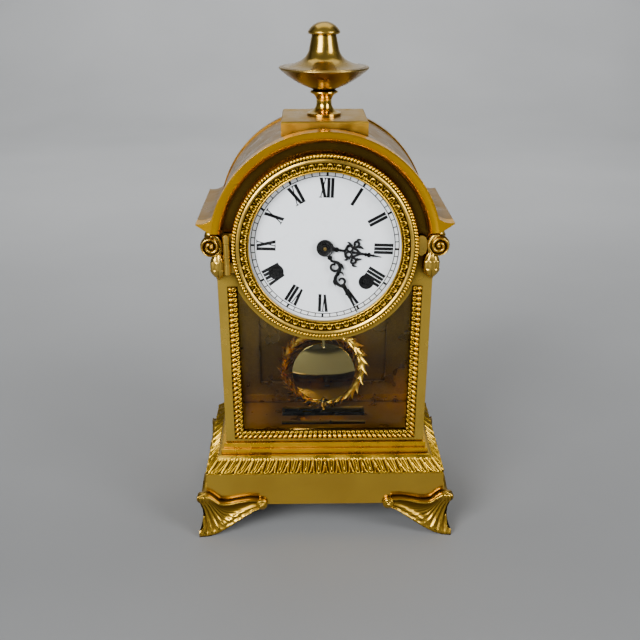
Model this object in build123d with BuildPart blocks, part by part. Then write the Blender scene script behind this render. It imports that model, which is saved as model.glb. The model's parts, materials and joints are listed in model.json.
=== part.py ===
from build123d import *
import os
from math import acos, atan2, cos, degrees, hypot, radians, sin, sqrt

# Arched brass mantel clock: glazed case, key-wound movement, pendulum, opening bezel and rear door.
# Millimetres. X runs to the right, Y to the back, Z up; the dial faces -Y. The origin is on the
# surface that the clock stands on, under the centre of its feet.

os.makedirs("parts", exist_ok=True)

# ---------------------------------------------------------------- driving dimensions
BODY_X = 63.3              # half width of the case
BODY_Y = 36.1              # half depth of the case
SHEET = 2.5                # thickness of the case's walls
CASE_BOTTOM = 60.4         # top of the rail that the walls stand on
SHOULDER = 198.0           # underside of the cornice
ARCH_Z = 188.2             # centre of the arch and of the dial
ARCH_R = 66.3              # outside of the arched roof
VAULT_R = 62.3             # inside of the arched roof
WALL_ARCH_R = 61.8         # arched top of the front and rear walls
ROOF_FRONT = -38.0         # front end of the vault, where the cornice starts
ROOF_BACK = 39.0
CORNICE_FRONT = -47.0
EAVE_X = 72.5              # tips of the eaves
EAVE_Z = 204.9

FASCIA_X = 76.2            # half width of the base
FASCIA_Y = 49.1            # half depth of the base
FASCIA_WALL = 2.5
FASCIA_BOTTOM = 21.2
FASCIA_TOP = 43.7
MOULDING_TOP = 53.1
FLOOR_TOP = 54.6           # floor inside the case

FOOT_X = 82.6              # tips of the feet
FOOT_Y = 55.6
FOOT_PLATE = 3.5
FOOT_INSET = 2.9           # from a foot's tip back to its upright plates
SCROLL_X = 41.4            # centre of the scroll at the end of a foot's arm
SCROLL_Z = 22.4
SCROLL_R = 4.0
EAR_Z = 31.0               # top of a foot's ear at the base's corner

WINDOW_X = 51.5            # half width of the front window
WINDOW_BOTTOM = 68.9
BEAD_X = 57.7              # outside of the beaded border
BEAD_BOTTOM = 62.8
BEAD_TOP = 165.0
BEAD_PROUD = 1.6
DIAL_RING_R = 57.5         # brass ring left round the bezel above the window
BEZEL_HOLE_R = 47.6        # hole in the front wall behind the bezel

RIM_R = 53.3
SIGHT_R = 44.4             # edge of the visible dial
GLASS_R = 46.6
GLASS_RISE = 3.6           # how far the domed glass stands out at its middle
GLASS_EDGE = -39.6
GLASS_THICK = 1.3
BEZEL_BACK = -36.5
HINGE_X = -56.5            # bezel hinge pin
HINGE_Y = -42.0
HINGE_BOTTOM = 174.5
HINGE_TOP = 197.4

DIAL_R = 46.9
DIAL_FRONT = -34.9
DIAL_BACK = -33.9
WINDING_R = 32.2           # winding arbors, from the dial's centre
WINDING_LEFT = 207.0       # their directions, in degrees from +X
WINDING_RIGHT = 319.3
WINDING_HOLE_R = 3.7

DRUM_R = 47.2              # movement housing
DRUM_BORE = 45.7
PLATE_R = 45.4             # movement plates
PLATE_THICK = 1.5
FRONT_PLATE_Y = -28.0      # back face of the movement's front plate
BACK_PLATE_Y = -3.5        # back face of the movement's back plate
RUNNING = 0.06             # radial clearance of a turning pin

PENDULUM_Y = 8.0
BOB_R = 21.0
BOB_Z = 89.5

DOOR_X = 47.5              # rear door, lying over its opening
DOOR_BOTTOM = 66.5
DOOR_OPENING_X = 44.0
DOOR_OPENING_BOTTOM = 70.0
DOOR_FRONT = 36.4
DOOR_BACK = 38.2
DOOR_HINGE_X = 50.5
DOOR_HINGE_Y = 38.8

FINIAL_Y = -4.9
PLINTH_X = 24.2
PLINTH_FRONT = -28.9
PLINTH_BACK = 19.1
PLINTH_TOP = 256.9

CORNERS = {"front_left": (-1, -1), "front_right": (1, -1), "rear_left": (-1, 1), "rear_right": (1, 1)}


# ---------------------------------------------------------------- helpers
def facing(y):
    """Sketch plane at depth y, seen from the front; what is extruded on it runs forward."""
    return Plane.XZ.offset(-y)


def polar(radius, angle):
    """Point at a radius and direction from the dial's centre, as (x, z)."""
    return (radius * cos(radians(angle)), ARCH_Z + radius * sin(radians(angle)))


def slab(half_x, half_y, z0, z1, mode=Mode.ADD):
    """Upright block centred on the clock's axis."""
    with BuildSketch(Plane.XY.offset(z0)) as profile:
        Rectangle(2 * half_x, 2 * half_y)
    extrude(profile.sketch, amount=z1 - z0, mode=mode)


def block(x, y, z, mode=Mode.ADD):
    """Box between pairs of limits along X, Y and Z."""
    with BuildSketch(Plane.XY.offset(z[0])) as profile:
        with Locations(((x[0] + x[1]) / 2, (y[0] + y[1]) / 2)):
            Rectangle(x[1] - x[0], y[1] - y[0])
    extrude(profile.sketch, amount=z[1] - z[0], mode=mode)


def disc(centre, radius, back, front, mode=Mode.ADD):
    """Round disc or rod along Y, centred on (x, z)."""
    with BuildSketch(facing(back)) as profile:
        with Locations(centre):
            Circle(radius)
    extrude(profile.sketch, amount=back - front, mode=mode)


def post(centre, radius, z0, z1, mode=Mode.ADD):
    """Upright round rod, centred on (x, y)."""
    with BuildSketch(Plane.XY.offset(z0)) as profile:
        with Locations(centre):
            Circle(radius)
    extrude(profile.sketch, amount=z1 - z0, mode=mode)


def turned(points, mode=Mode.ADD):
    """Solid of revolution about the dial's axis, from (radius, y) corners."""
    with BuildSketch(Plane.XY.offset(ARCH_Z)) as profile:
        with BuildLine():
            Polyline(*points, close=True)
        make_face()
    revolve(profile.sketch, axis=Axis((0, 0, ARCH_Z), (0, 1, 0)), mode=mode)


def keep(builder, name):
    """Label a finished piece and write its STEP file."""
    builder.part.label = name
    export_step(builder.part, f"parts/{name}.step")


# ---------------------------------------------------------------- base
with BuildPart() as base_fascia:
    slab(FASCIA_X, FASCIA_Y, FASCIA_BOTTOM, FASCIA_TOP)
    slab(FASCIA_X - FASCIA_WALL, FASCIA_Y - FASCIA_WALL, FASCIA_BOTTOM, FASCIA_TOP, Mode.SUBTRACT)
keep(base_fascia, "base_fascia")

SCREW_X = 69.5
SCREW_Y = 42.5
SCREW_R = 1.5
SCREW_HEAD_R = 3.0
SCREW_HEAD = (6.0, 8.2)    # heights of the head's underside and top
BOTTOM_PLATE_TOP = 23.2

with BuildPart() as base_bottom_plate:
    slab(FASCIA_X - FASCIA_WALL - 0.1, FASCIA_Y - FASCIA_WALL - 0.1, FASCIA_BOTTOM, BOTTOM_PLATE_TOP)
    with BuildSketch(Plane.XY.offset(FASCIA_BOTTOM)):
        with GridLocations(2 * SCREW_X, 2 * SCREW_Y, 2, 2):
            Circle(SCREW_R + 0.05)
    extrude(amount=BOTTOM_PLATE_TOP - FASCIA_BOTTOM, mode=Mode.SUBTRACT)
keep(base_bottom_plate, "base_bottom_plate")

# Leaf moulding: a cyma from the fascia's edge in to the rail, as half sizes at rising heights.
MOULDING_STEPS = [(76.2, 49.1, 43.7), (76.2, 49.1, 45.0), (75.0, 47.9, 46.2), (71.6, 44.5, 48.6),
                  (69.2, 42.1, 51.2), (68.6, 41.5, 53.1)]
MOULDING_BORE = (58.0, 31.0)

with BuildPart() as base_acanthus_moulding:
    for half_x, half_y, height in MOULDING_STEPS:
        with BuildSketch(Plane.XY.offset(height)):
            Rectangle(2 * half_x, 2 * half_y)
    loft(ruled=True)
    slab(*MOULDING_BORE, FASCIA_TOP, MOULDING_TOP, Mode.SUBTRACT)
keep(base_acanthus_moulding, "base_acanthus_moulding")

RAIL_STEP = 56.7
FLOOR_X = 60.5
FLOOR_Y = 33.3

with BuildPart() as base_rail:
    slab(66.2, 39.0, MOULDING_TOP, RAIL_STEP)
    slab(64.8, 37.6, RAIL_STEP, CASE_BOTTOM)
    slab(FLOOR_X + 0.1, FLOOR_Y + 0.1, MOULDING_TOP, CASE_BOTTOM, Mode.SUBTRACT)
keep(base_rail, "base_rail")

SLOT_LENGTH = 57.4
SLOTS = {18.5: 13.4, 1.5: 5.4}    # depth of each slot's middle and its width

with BuildPart() as case_floor_plate:
    slab(FLOOR_X, FLOOR_Y, MOULDING_TOP, FLOOR_TOP)
    for slot_y, slot_width in SLOTS.items():
        with BuildSketch(Plane.XY.offset(MOULDING_TOP)):
            with Locations((0, slot_y)):
                Rectangle(SLOT_LENGTH, slot_width)
        extrude(amount=FLOOR_TOP - MOULDING_TOP, mode=Mode.SUBTRACT)
keep(case_floor_plate, "case_floor_plate")


# ---------------------------------------------------------------- feet
def foot_outline(shift):
    """Upright plate of a foot: scrolled arm, ear and leg; shift moves it along the base's side."""
    edge = FOOT_X - FOOT_INSET - shift
    with BuildLine() as outline:
        Polyline((66.0 - shift, 0), (edge, 0), (edge, EAR_Z), (edge - 3.0, EAR_Z))
        ThreePointArc((edge - 3.0, EAR_Z), (70.5 - shift, 26.8), (63.0 - shift, 25.4))
        Line((63.0 - shift, 25.4), (SCROLL_X - shift, SCROLL_Z + SCROLL_R))
        Line((SCROLL_X - shift, SCROLL_Z + SCROLL_R), (SCROLL_X + 2.0 - shift, SCROLL_Z - 3.4))
        ThreePointArc((SCROLL_X + 2.0 - shift, SCROLL_Z - 3.4), (54.6 - shift, 10.4),
                      (66.0 - shift, 0))
    make_face(outline.edges())
    with Locations((SCROLL_X - shift, SCROLL_Z)):
        Circle(SCROLL_R)


LEG_FOOT = ((66.0, FOOT_X), (39.0, FOOT_Y))        # limits of the leg's sole along X and Y
LEG_HEAD = ((64.0, FASCIA_X), (37.0, FASCIA_Y))    # and where it meets the base


def limits_rectangle(limits):
    """Rectangle between limits along X and, mirrored to the front, along Y."""
    (x0, x1), (y0, y1) = limits
    with Locations(((x0 + x1) / 2, -(y0 + y1) / 2)):
        Rectangle(x1 - x0, y1 - y0)


with BuildPart() as foot_master:
    with BuildSketch(facing(-FASCIA_Y)):
        foot_outline(0)
    extrude(amount=FOOT_PLATE)
    with BuildSketch(Plane.YZ.offset(FASCIA_X)):
        with BuildSketch(mode=Mode.PRIVATE) as side_outline:
            foot_outline(FOOT_X - FOOT_Y)
        add(mirror(side_outline.sketch, about=Plane.YZ))
    extrude(amount=FOOT_PLATE)
    with BuildSketch(Plane.XY):
        limits_rectangle(LEG_FOOT)
    with BuildSketch(Plane.XY.offset(FASCIA_BOTTOM)):
        limits_rectangle(LEG_HEAD)
    loft(ruled=True)
    post((SCREW_X, -SCREW_Y), SCREW_R + 0.05, 0, FASCIA_BOTTOM, Mode.SUBTRACT)
    post((SCREW_X, -SCREW_Y), SCREW_HEAD_R + 0.3, 0, SCREW_HEAD[1], Mode.SUBTRACT)

for corner, (side_x, side_y) in CORNERS.items():
    with BuildPart() as foot:
        piece = foot_master.part
        if side_x < 0:
            piece = piece.mirror(Plane.YZ)
        if side_y > 0:
            piece = piece.mirror(Plane.XZ)
        add(piece)
    keep(foot, f"foot_{corner}")

with BuildPart() as foot_screws:
    for side_x, side_y in CORNERS.values():
        post((side_x * SCREW_X, side_y * SCREW_Y), SCREW_HEAD_R, *SCREW_HEAD)
        post((side_x * SCREW_X, side_y * SCREW_Y), SCREW_R, SCREW_HEAD[1], BOTTOM_PLATE_TOP + 2.0)
keep(foot_screws, "foot_screws")


# ---------------------------------------------------------------- case walls and glass
def wall_outline():
    """Outline of the front and rear walls: upright sides with an arched top."""
    with Locations((0, (CASE_BOTTOM + SHOULDER) / 2)):
        Rectangle(2 * BODY_X, SHOULDER - CASE_BOTTOM)
    with Locations((0, ARCH_Z)):
        Circle(WALL_ARCH_R)


def upright_rectangle(half_x, z0, z1, mode=Mode.ADD):
    """Rectangle about X = 0 between two heights, in a facing sketch."""
    with Locations((0, (z0 + z1) / 2)):
        Rectangle(2 * half_x, z1 - z0, mode=mode)


with BuildPart() as front_wall:
    with BuildSketch(facing(-BODY_Y + SHEET)):
        wall_outline()
        upright_rectangle(WINDOW_X, WINDOW_BOTTOM, ARCH_Z, Mode.SUBTRACT)
        with Locations((0, ARCH_Z)):
            Circle(DIAL_RING_R)
            Circle(BEZEL_HOLE_R, mode=Mode.SUBTRACT)
    extrude(amount=SHEET)
keep(front_wall, "front_wall")

with BuildPart() as front_bead_border:
    with BuildSketch(facing(-BODY_Y)):
        upright_rectangle(BEAD_X, BEAD_BOTTOM, BEAD_TOP)
        upright_rectangle(WINDOW_X, WINDOW_BOTTOM, BEAD_TOP, Mode.SUBTRACT)
        with Locations((0, ARCH_Z)):
            Circle(DIAL_RING_R + 0.5, mode=Mode.SUBTRACT)
    extrude(amount=BEAD_PROUD)
keep(front_bead_border, "front_bead_border")

PANE_THICK = 2.4
PANE_GAP = 0.1
PANE_NOTCH_R = 53.0        # round notch that leaves room for the movement's flange

with BuildPart() as front_glass:
    with BuildSketch(facing(-BODY_Y + SHEET + PANE_GAP + PANE_THICK)):
        upright_rectangle(WINDOW_X + 3.5, WINDOW_BOTTOM - 4.0, BEAD_TOP + 4.0)
        with Locations((0, ARCH_Z)):
            Circle(PANE_NOTCH_R, mode=Mode.SUBTRACT)
    extrude(amount=PANE_THICK)
keep(front_glass, "front_glass")

SIDE_WINDOW_Y = 25.0
SIDE_WINDOW_Z = (70.0, 190.0)
SIDE_WALL_Y = BODY_Y - SHEET

for side, sign in (("left", -1), ("right", 1)):
    outer = sign * BODY_X
    inner = sign * (BODY_X - SHEET)
    with BuildPart() as side_wall:
        block(sorted((inner, outer)), (-SIDE_WALL_Y, SIDE_WALL_Y), (CASE_BOTTOM, SHOULDER))
        block(sorted((inner, outer)), (-SIDE_WINDOW_Y, SIDE_WINDOW_Y), SIDE_WINDOW_Z, Mode.SUBTRACT)
    keep(side_wall, f"side_wall_{side}")

with BuildPart() as side_glasses:
    for sign in (-1, 1):
        pane_outer = sign * (BODY_X - SHEET - PANE_GAP)
        pane_inner = sign * (BODY_X - SHEET - PANE_GAP - PANE_THICK)
        block(sorted((pane_inner, pane_outer)), (-SIDE_WINDOW_Y - 2.5, SIDE_WINDOW_Y + 2.5),
              (SIDE_WINDOW_Z[0] - 3.0, SIDE_WINDOW_Z[1] + 3.0))
keep(side_glasses, "side_glasses")

with BuildPart() as rear_wall:
    with BuildSketch(facing(BODY_Y)):
        wall_outline()
        upright_rectangle(DOOR_OPENING_X, DOOR_OPENING_BOTTOM, ARCH_Z, Mode.SUBTRACT)
        with Locations((0, ARCH_Z)):
            Circle(DOOR_OPENING_X, mode=Mode.SUBTRACT)
    extrude(amount=SHEET)
keep(rear_wall, "rear_wall")


# ---------------------------------------------------------------- roof
def roof_outline(inner_radius):
    """Arch with flared eaves, hollow below inner_radius."""
    outer_start = 17.0     # direction in which the arch turns into the eave
    drop = ARCH_Z - SHOULDER
    inner_x = sqrt(inner_radius ** 2 - drop ** 2)
    turn_x = ARCH_R * cos(radians(outer_start))
    turn_z = ARCH_Z + ARCH_R * sin(radians(outer_start))
    with BuildLine() as outline:
        for sign in (1, -1):
            Polyline((sign * inner_x, SHOULDER), (sign * 65.0, 199.5), (sign * EAVE_X, EAVE_Z - 0.4),
                     (sign * EAVE_X, EAVE_Z + 0.4))
            ThreePointArc((sign * EAVE_X, EAVE_Z + 0.4), (sign * 66.6, 205.7), (sign * turn_x, turn_z))
        ThreePointArc((turn_x, turn_z), (0, ARCH_Z + ARCH_R), (-turn_x, turn_z))
        ThreePointArc((inner_x, SHOULDER), (0, ARCH_Z + inner_radius), (-inner_x, SHOULDER))
    make_face(outline.edges())


COVE_BACK_R = 59.6
COVE_FRONT_R = 65.3

with BuildPart() as cornice_moulding:
    with BuildSketch(facing(ROOF_FRONT)):
        roof_outline(COVE_BACK_R)
    extrude(amount=ROOF_FRONT - CORNICE_FRONT)
    with BuildSketch(Plane.XY.offset(ARCH_Z)):
        with BuildLine():
            Polyline((COVE_FRONT_R, CORNICE_FRONT + 0.7), (COVE_FRONT_R, CORNICE_FRONT - 1),
                     (0, CORNICE_FRONT - 1),
                     (0, ROOF_FRONT), (COVE_BACK_R, ROOF_FRONT), (COVE_BACK_R, ROOF_FRONT - 1.0))
            ThreePointArc((COVE_BACK_R, ROOF_FRONT - 1.0), (61.2, -43.4),
                          (COVE_FRONT_R, CORNICE_FRONT + 0.7))
        make_face()
    revolve(axis=Axis((0, 0, ARCH_Z), (0, 1, 0)), mode=Mode.SUBTRACT)
keep(cornice_moulding, "cornice_moulding")

ROD_R = 2.0
ROD_HOLE_R = 2.1

RECESS = 1.0               # the vault's skin lies this far inside its front cornice and rear rim
REAR_RIM = 4.2             # width of the rim left round the vault's rear end
RECESS_START = 18.0        # direction from the centre where the recess begins, above the eave

with BuildPart() as roof_vault:
    with BuildSketch(facing(ROOF_BACK)):
        roof_outline(VAULT_R)
    extrude(amount=ROOF_BACK - ROOF_FRONT)
    with BuildSketch(facing(ROOF_BACK - REAR_RIM)):
        with BuildLine():
            inner, outer, last = ARCH_R - RECESS, ARCH_R + RECESS, 180 - RECESS_START
            ThreePointArc(polar(inner, RECESS_START), polar(inner, 90), polar(inner, last))
            Line(polar(inner, last), polar(outer, last))
            ThreePointArc(polar(outer, last), polar(outer, 90), polar(outer, RECESS_START))
            Line(polar(outer, RECESS_START), polar(inner, RECESS_START))
        make_face()
    extrude(amount=ROOF_BACK - REAR_RIM - ROOF_FRONT, mode=Mode.SUBTRACT)
    post((0, FINIAL_Y), ROD_HOLE_R, ARCH_Z, PLINTH_TOP, Mode.SUBTRACT)
keep(roof_vault, "roof_vault")

with BuildPart() as roof_plinth_block:
    block((-PLINTH_X, PLINTH_X), (PLINTH_FRONT, PLINTH_BACK), (ARCH_Z + 55, PLINTH_TOP))
    disc((0, ARCH_Z), ARCH_R - RECESS, PLINTH_BACK + 1, PLINTH_FRONT - 1, Mode.SUBTRACT)
    chamfer(roof_plinth_block.faces().sort_by(Axis.Z)[-1].edges(), length=0.8)
    post((0, FINIAL_Y), ROD_HOLE_R, ARCH_Z, PLINTH_TOP, Mode.SUBTRACT)
keep(roof_plinth_block, "roof_plinth_block")


# ---------------------------------------------------------------- finial
def finial_piece(profile, bore_top):
    """Turned piece about the finial's axis from a closed (radius, height) profile, bored for the rod."""
    with BuildSketch(Plane.XZ.offset(-FINIAL_Y)) as section:
        with BuildLine():
            profile()
        make_face()
    revolve(section.sketch, axis=Axis((0, FINIAL_Y, 0), (0, 0, 1)))
    post((0, FINIAL_Y), ROD_HOLE_R, PLINTH_TOP, bore_top, Mode.SUBTRACT)


STEM_TOP = 270.8
BOWL_TOP = 282.8
LID_TOP = 305.8


def stem_profile():
    Polyline((0, STEM_TOP), (0, PLINTH_TOP), (9.7, PLINTH_TOP), (9.7, 258.3), (8.4, 258.7))
    ThreePointArc((8.4, 258.7), (5.2, 260.9), (4.35, 264.2))
    ThreePointArc((4.35, 264.2), (4.9, 266.8), (6.6, 268.5))
    Line((6.6, 268.5), (7.2, 268.7))
    ThreePointArc((7.2, 268.7), (7.9, 269.5), (7.2, 270.3))
    Polyline((7.2, 270.3), (6.2, STEM_TOP), (0, STEM_TOP))


def bowl_profile():
    Polyline((0, BOWL_TOP), (0, STEM_TOP), (5.6, STEM_TOP))
    ThreePointArc((5.6, STEM_TOP), (16.6, 275.5), (25.0, 281.6))
    ThreePointArc((25.0, 281.6), (25.3, 282.3), (24.8, BOWL_TOP))
    Line((24.8, BOWL_TOP), (0, BOWL_TOP))


def lid_profile():
    Polyline((0, LID_TOP), (0, BOWL_TOP), (23.6, BOWL_TOP))
    ThreePointArc((23.6, BOWL_TOP), (17.5, 284.0), (13.4, 285.7))
    ThreePointArc((13.4, 285.7), (10.4, 288.0), (8.6, 291.0))
    Line((8.6, 291.0), (6.8, 299.4))
    Line((6.8, 299.4), (8.4, 299.5))
    ThreePointArc((8.4, 299.5), (8.95, 300.3), (8.7, 301.2))
    ThreePointArc((8.7, 301.2), (5.4, 304.4), (1.0, LID_TOP))
    Line((1.0, LID_TOP), (0, LID_TOP))


with BuildPart() as finial_stem:
    finial_piece(stem_profile, STEM_TOP)
keep(finial_stem, "finial_stem")

with BuildPart() as finial_bowl:
    finial_piece(bowl_profile, BOWL_TOP)
keep(finial_bowl, "finial_bowl")

with BuildPart() as finial_lid:
    finial_piece(lid_profile, 292.0)
keep(finial_lid, "finial_lid")

NUT_Z = (245.0, 249.0)

with BuildPart() as finial_rod_and_nut:
    post((0, FINIAL_Y), ROD_R, NUT_Z[0] - 2.0, 291.0)
    with BuildSketch(Plane.XY.offset(NUT_Z[0])):
        with Locations((0, FINIAL_Y)):
            RegularPolygon(4.2, 6)
    extrude(amount=NUT_Z[1] - NUT_Z[0])
keep(finial_rod_and_nut, "finial_rod_and_nut")


# ---------------------------------------------------------------- corner capitals
CAPITAL_X = 65.5
CAPITAL_Z = 190.5
CAPITAL_R = 6.0
CAPITAL_FRONT = -43.0
DROP_X = 61.5
DROP_Y = -39.4

with BuildPart() as corner_capitals:
    for sign in (-1, 1):
        disc((sign * CAPITAL_X, CAPITAL_Z), CAPITAL_R, -BODY_Y, CAPITAL_FRONT)
        block(sorted((sign * (BODY_X + 0.05), sign * (CAPITAL_X + 4.5))),
              (CAPITAL_FRONT + 2, -29.0), (186.0, 199.0))
        block(sorted((sign * 60.5, sign * (CAPITAL_X + 4.5))),
              (CAPITAL_FRONT + 2, -BODY_Y), (190.0, SHOULDER))
        with BuildSketch(Plane.XZ.offset(-DROP_Y)):
            with BuildLine():
                Polyline((sign * DROP_X, 186.5), (sign * (DROP_X + 2.2), 186.5),
                         (sign * (DROP_X + 1.6), 183.4))
                ThreePointArc((sign * (DROP_X + 1.6), 183.4), (sign * (DROP_X + 2.6), 177.5),
                              (sign * DROP_X, 170.5))
                Line((sign * DROP_X, 170.5), (sign * DROP_X, 186.5))
            make_face()
        revolve(axis=Axis((sign * DROP_X, DROP_Y, 0), (0, 0, 1)))
        block(sorted((sign * (DROP_X - 0.8), sign * (DROP_X + 0.8))), (DROP_Y, -BODY_Y), (175.0, 186.5))
    with BuildSketch(facing(ROOF_BACK)):
        roof_outline(COVE_BACK_R)
    extrude(amount=ROOF_BACK - CORNICE_FRONT, mode=Mode.SUBTRACT)
keep(corner_capitals, "corner_capitals")


# ---------------------------------------------------------------- bezel and its hinge
PIN_R = 1.0
KNUCKLE_R = 1.8
LUG_SPLITS = (180.4, 192.6)      # heights where the bezel's lugs meet the case's knuckle
KNUCKLE_GAP = 0.15

with BuildPart() as bezel_rim:
    turned([(SIGHT_R, BEZEL_BACK), (RIM_R, BEZEL_BACK), (RIM_R, -39.7), (51.2, -39.7), (51.2, -42.2),
            (50.3, -42.6), (49.3, -42.0), (49.3, -38.1), (SIGHT_R, -38.1)])
    for low, high in ((HINGE_BOTTOM, LUG_SPLITS[0]), (LUG_SPLITS[1], HINGE_TOP)):
        post((HINGE_X, HINGE_Y), KNUCKLE_R, low, high)
        block((HINGE_X - 1.4, HINGE_X + 1.4), (HINGE_Y, -37.5), (low, high))
        block((HINGE_X - 1.4, -51.6), (-39.6, -37.5), (low, high))
    post((HINGE_X, HINGE_Y), PIN_R + RUNNING, HINGE_BOTTOM, HINGE_TOP, Mode.SUBTRACT)
    with BuildSketch(facing(-37.6)):
        with Locations((55.6, 190.0)):
            Ellipse(3.4, 5.8)
        with Locations((0, ARCH_Z)):
            Circle(RIM_R - 0.3, mode=Mode.SUBTRACT)
    extrude(amount=1.8)
keep(bezel_rim, "bezel_rim")

with BuildPart() as bezel_hinge_bracket:
    post((HINGE_X, HINGE_Y), PIN_R, HINGE_BOTTOM - 0.5, HINGE_TOP + 0.3)
    post((HINGE_X, HINGE_Y), KNUCKLE_R, LUG_SPLITS[0] + KNUCKLE_GAP, LUG_SPLITS[1] - KNUCKLE_GAP)
    block((HINGE_X - 1.4, HINGE_X + 1.4), (HINGE_Y, -BODY_Y),
          (LUG_SPLITS[0] + KNUCKLE_GAP, LUG_SPLITS[1] - KNUCKLE_GAP))
keep(bezel_hinge_bracket, "bezel_hinge_bracket")

with BuildPart() as bezel_rope_ring:
    with BuildSketch(Plane.XY.offset(ARCH_Z)):
        with Locations((52.6, -41.1)):
            Circle(1.4)
    revolve(axis=Axis((0, 0, ARCH_Z), (0, 1, 0)))
keep(bezel_rope_ring, "bezel_rope_ring")

with BuildPart() as bezel_egg_dart_ring:
    turned([(45.0, -40.0), (49.2, -40.0), (49.2, -42.0), (48.2, -42.0), (45.0, -40.6)])
keep(bezel_egg_dart_ring, "bezel_egg_dart_ring")


def dome(depth):
    """Mid-point and ends of the domed glass's surface whose edge is at the given depth."""
    return (0, depth - GLASS_RISE), (GLASS_R / 2, depth - 0.75 * GLASS_RISE), (GLASS_R, depth)


with BuildPart() as bezel_glass:
    with BuildSketch(Plane.XY.offset(ARCH_Z)):
        with BuildLine():
            ThreePointArc(*dome(GLASS_EDGE))
            Line((GLASS_R, GLASS_EDGE), (GLASS_R, GLASS_EDGE + GLASS_THICK))
            ThreePointArc(*dome(GLASS_EDGE + GLASS_THICK))
            Line((0, GLASS_EDGE + GLASS_THICK - GLASS_RISE), (0, GLASS_EDGE - GLASS_RISE))
        make_face()
    revolve(axis=Axis((0, 0, ARCH_Z), (0, 1, 0)))
keep(bezel_glass, "bezel_glass")


# ---------------------------------------------------------------- dial and movement frame
LEFT = polar(WINDING_R, WINDING_LEFT)
RIGHT = polar(WINDING_R, WINDING_RIGHT)
CENTRE = (0, ARCH_Z)

with BuildPart() as dial:
    disc(CENTRE, DIAL_R, DIAL_BACK, DIAL_FRONT)
    disc(CENTRE, 3.8, DIAL_BACK, DIAL_FRONT, Mode.SUBTRACT)
    for arbor in (LEFT, RIGHT):
        disc(arbor, WINDING_HOLE_R, DIAL_BACK, DIAL_FRONT, Mode.SUBTRACT)
keep(dial, "dial")

with BuildPart() as movement_drum:
    disc(CENTRE, DRUM_R, 1.0, -33.6)
    disc(CENTRE, 52.0, -32.4, -33.6)
    disc(CENTRE, DRUM_BORE, 1.0, -33.6, Mode.SUBTRACT)
keep(movement_drum, "movement_drum")

# Wheel train: (teeth, module) of each wheel and pinion.
CANNON = (12, 10 / 24)
MINUTE = (36, 10 / 24)
MINUTE_PINION = (10, 0.4)
HOUR = (40, 0.4)
BARREL = (50, 0.5)
SECOND_PINION = (16, 0.5)
SECOND = (64, 0.4)
CENTRE_PINION = (18, 0.4)
CENTRE_WHEEL = (64, 0.45)
THIRD_PINION = (12, 0.45)
THIRD = (60, 0.4)
ESCAPE_PINION = (12, 0.4)


def span(wheel, pinion):
    """Distance between the centres of two meshed gears."""
    return (wheel[0] * wheel[1] + pinion[0] * pinion[1]) / 2


def direction(a, b):
    """Direction from point a to point b, in degrees."""
    return degrees(atan2(b[1] - a[1], b[0] - a[0]))


def third_corner(a, b, from_a, from_b):
    """Point at given distances from a and b, on the left of the line from a to b."""
    side = hypot(b[0] - a[0], b[1] - a[1])
    turn = acos((from_a ** 2 + side ** 2 - from_b ** 2) / (2 * from_a * side))
    heading = radians(direction(a, b)) + turn
    return (a[0] + from_a * cos(heading), a[1] + from_a * sin(heading))


MINUTE_AT = polar(span(CANNON, MINUTE), 45)
SECOND_AT = third_corner(LEFT, CENTRE, span(BARREL, SECOND_PINION), span(SECOND, CENTRE_PINION))
THIRD_AT = polar(span(CENTRE_WHEEL, THIRD_PINION), 120)
ESCAPE_DROP = sqrt(span(THIRD, ESCAPE_PINION) ** 2 - THIRD_AT[0] ** 2)
ESCAPE_AT = (0, THIRD_AT[1] + ESCAPE_DROP)
ESCAPE_R = 7.8
ANCHOR_AT = (0, ESCAPE_AT[1] + 11.0)
ARBOR_R = 1.5
PIVOT_R = 1.0
WINDING_ARBOR_R = 2.3
ARBOR_ENDS = (-4.0, -29.0)       # ends of a pivoted arbor, inside the two plates
PILLAR_ANGLES = (18, 66, 158, 263)
STAND_AT = (24.0, 172.0)         # bell stand, on the back plate
HOUR_HAND_Y = (-35.8, -36.2)     # back and front of each hand
MINUTE_HAND_Y = (-36.8, -37.3)
HAMMER_AT = (-28.5, 168.0)       # hammer's pivot


def pierced_plate(back):
    """Round movement plate with running holes for every arbor that passes it."""
    disc(CENTRE, PLATE_R, back, back - PLATE_THICK)
    for centre, radius in ((CENTRE, ARBOR_R), (LEFT, WINDING_ARBOR_R), (RIGHT, WINDING_ARBOR_R),
                           (SECOND_AT, PIVOT_R), (THIRD_AT, PIVOT_R), (ESCAPE_AT, PIVOT_R),
                           (ANCHOR_AT, PIVOT_R)):
        disc(centre, radius + RUNNING, back, back - PLATE_THICK, Mode.SUBTRACT)


with BuildPart() as movement_front_plate:
    pierced_plate(FRONT_PLATE_Y)
    disc(MINUTE_AT, PIVOT_R, FRONT_PLATE_Y - PLATE_THICK, -33.5)
keep(movement_front_plate, "movement_front_plate")

with BuildPart() as movement_back_plate:
    pierced_plate(BACK_PLATE_Y)
    disc(HAMMER_AT, ARBOR_R, 17.0, BACK_PLATE_Y)
keep(movement_back_plate, "movement_back_plate")

with BuildPart() as movement_pillars:
    for angle in PILLAR_ANGLES:
        disc(polar(42.0, angle), 2.2, BACK_PLATE_Y - PLATE_THICK, FRONT_PLATE_Y)
keep(movement_pillars, "movement_pillars")


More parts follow.
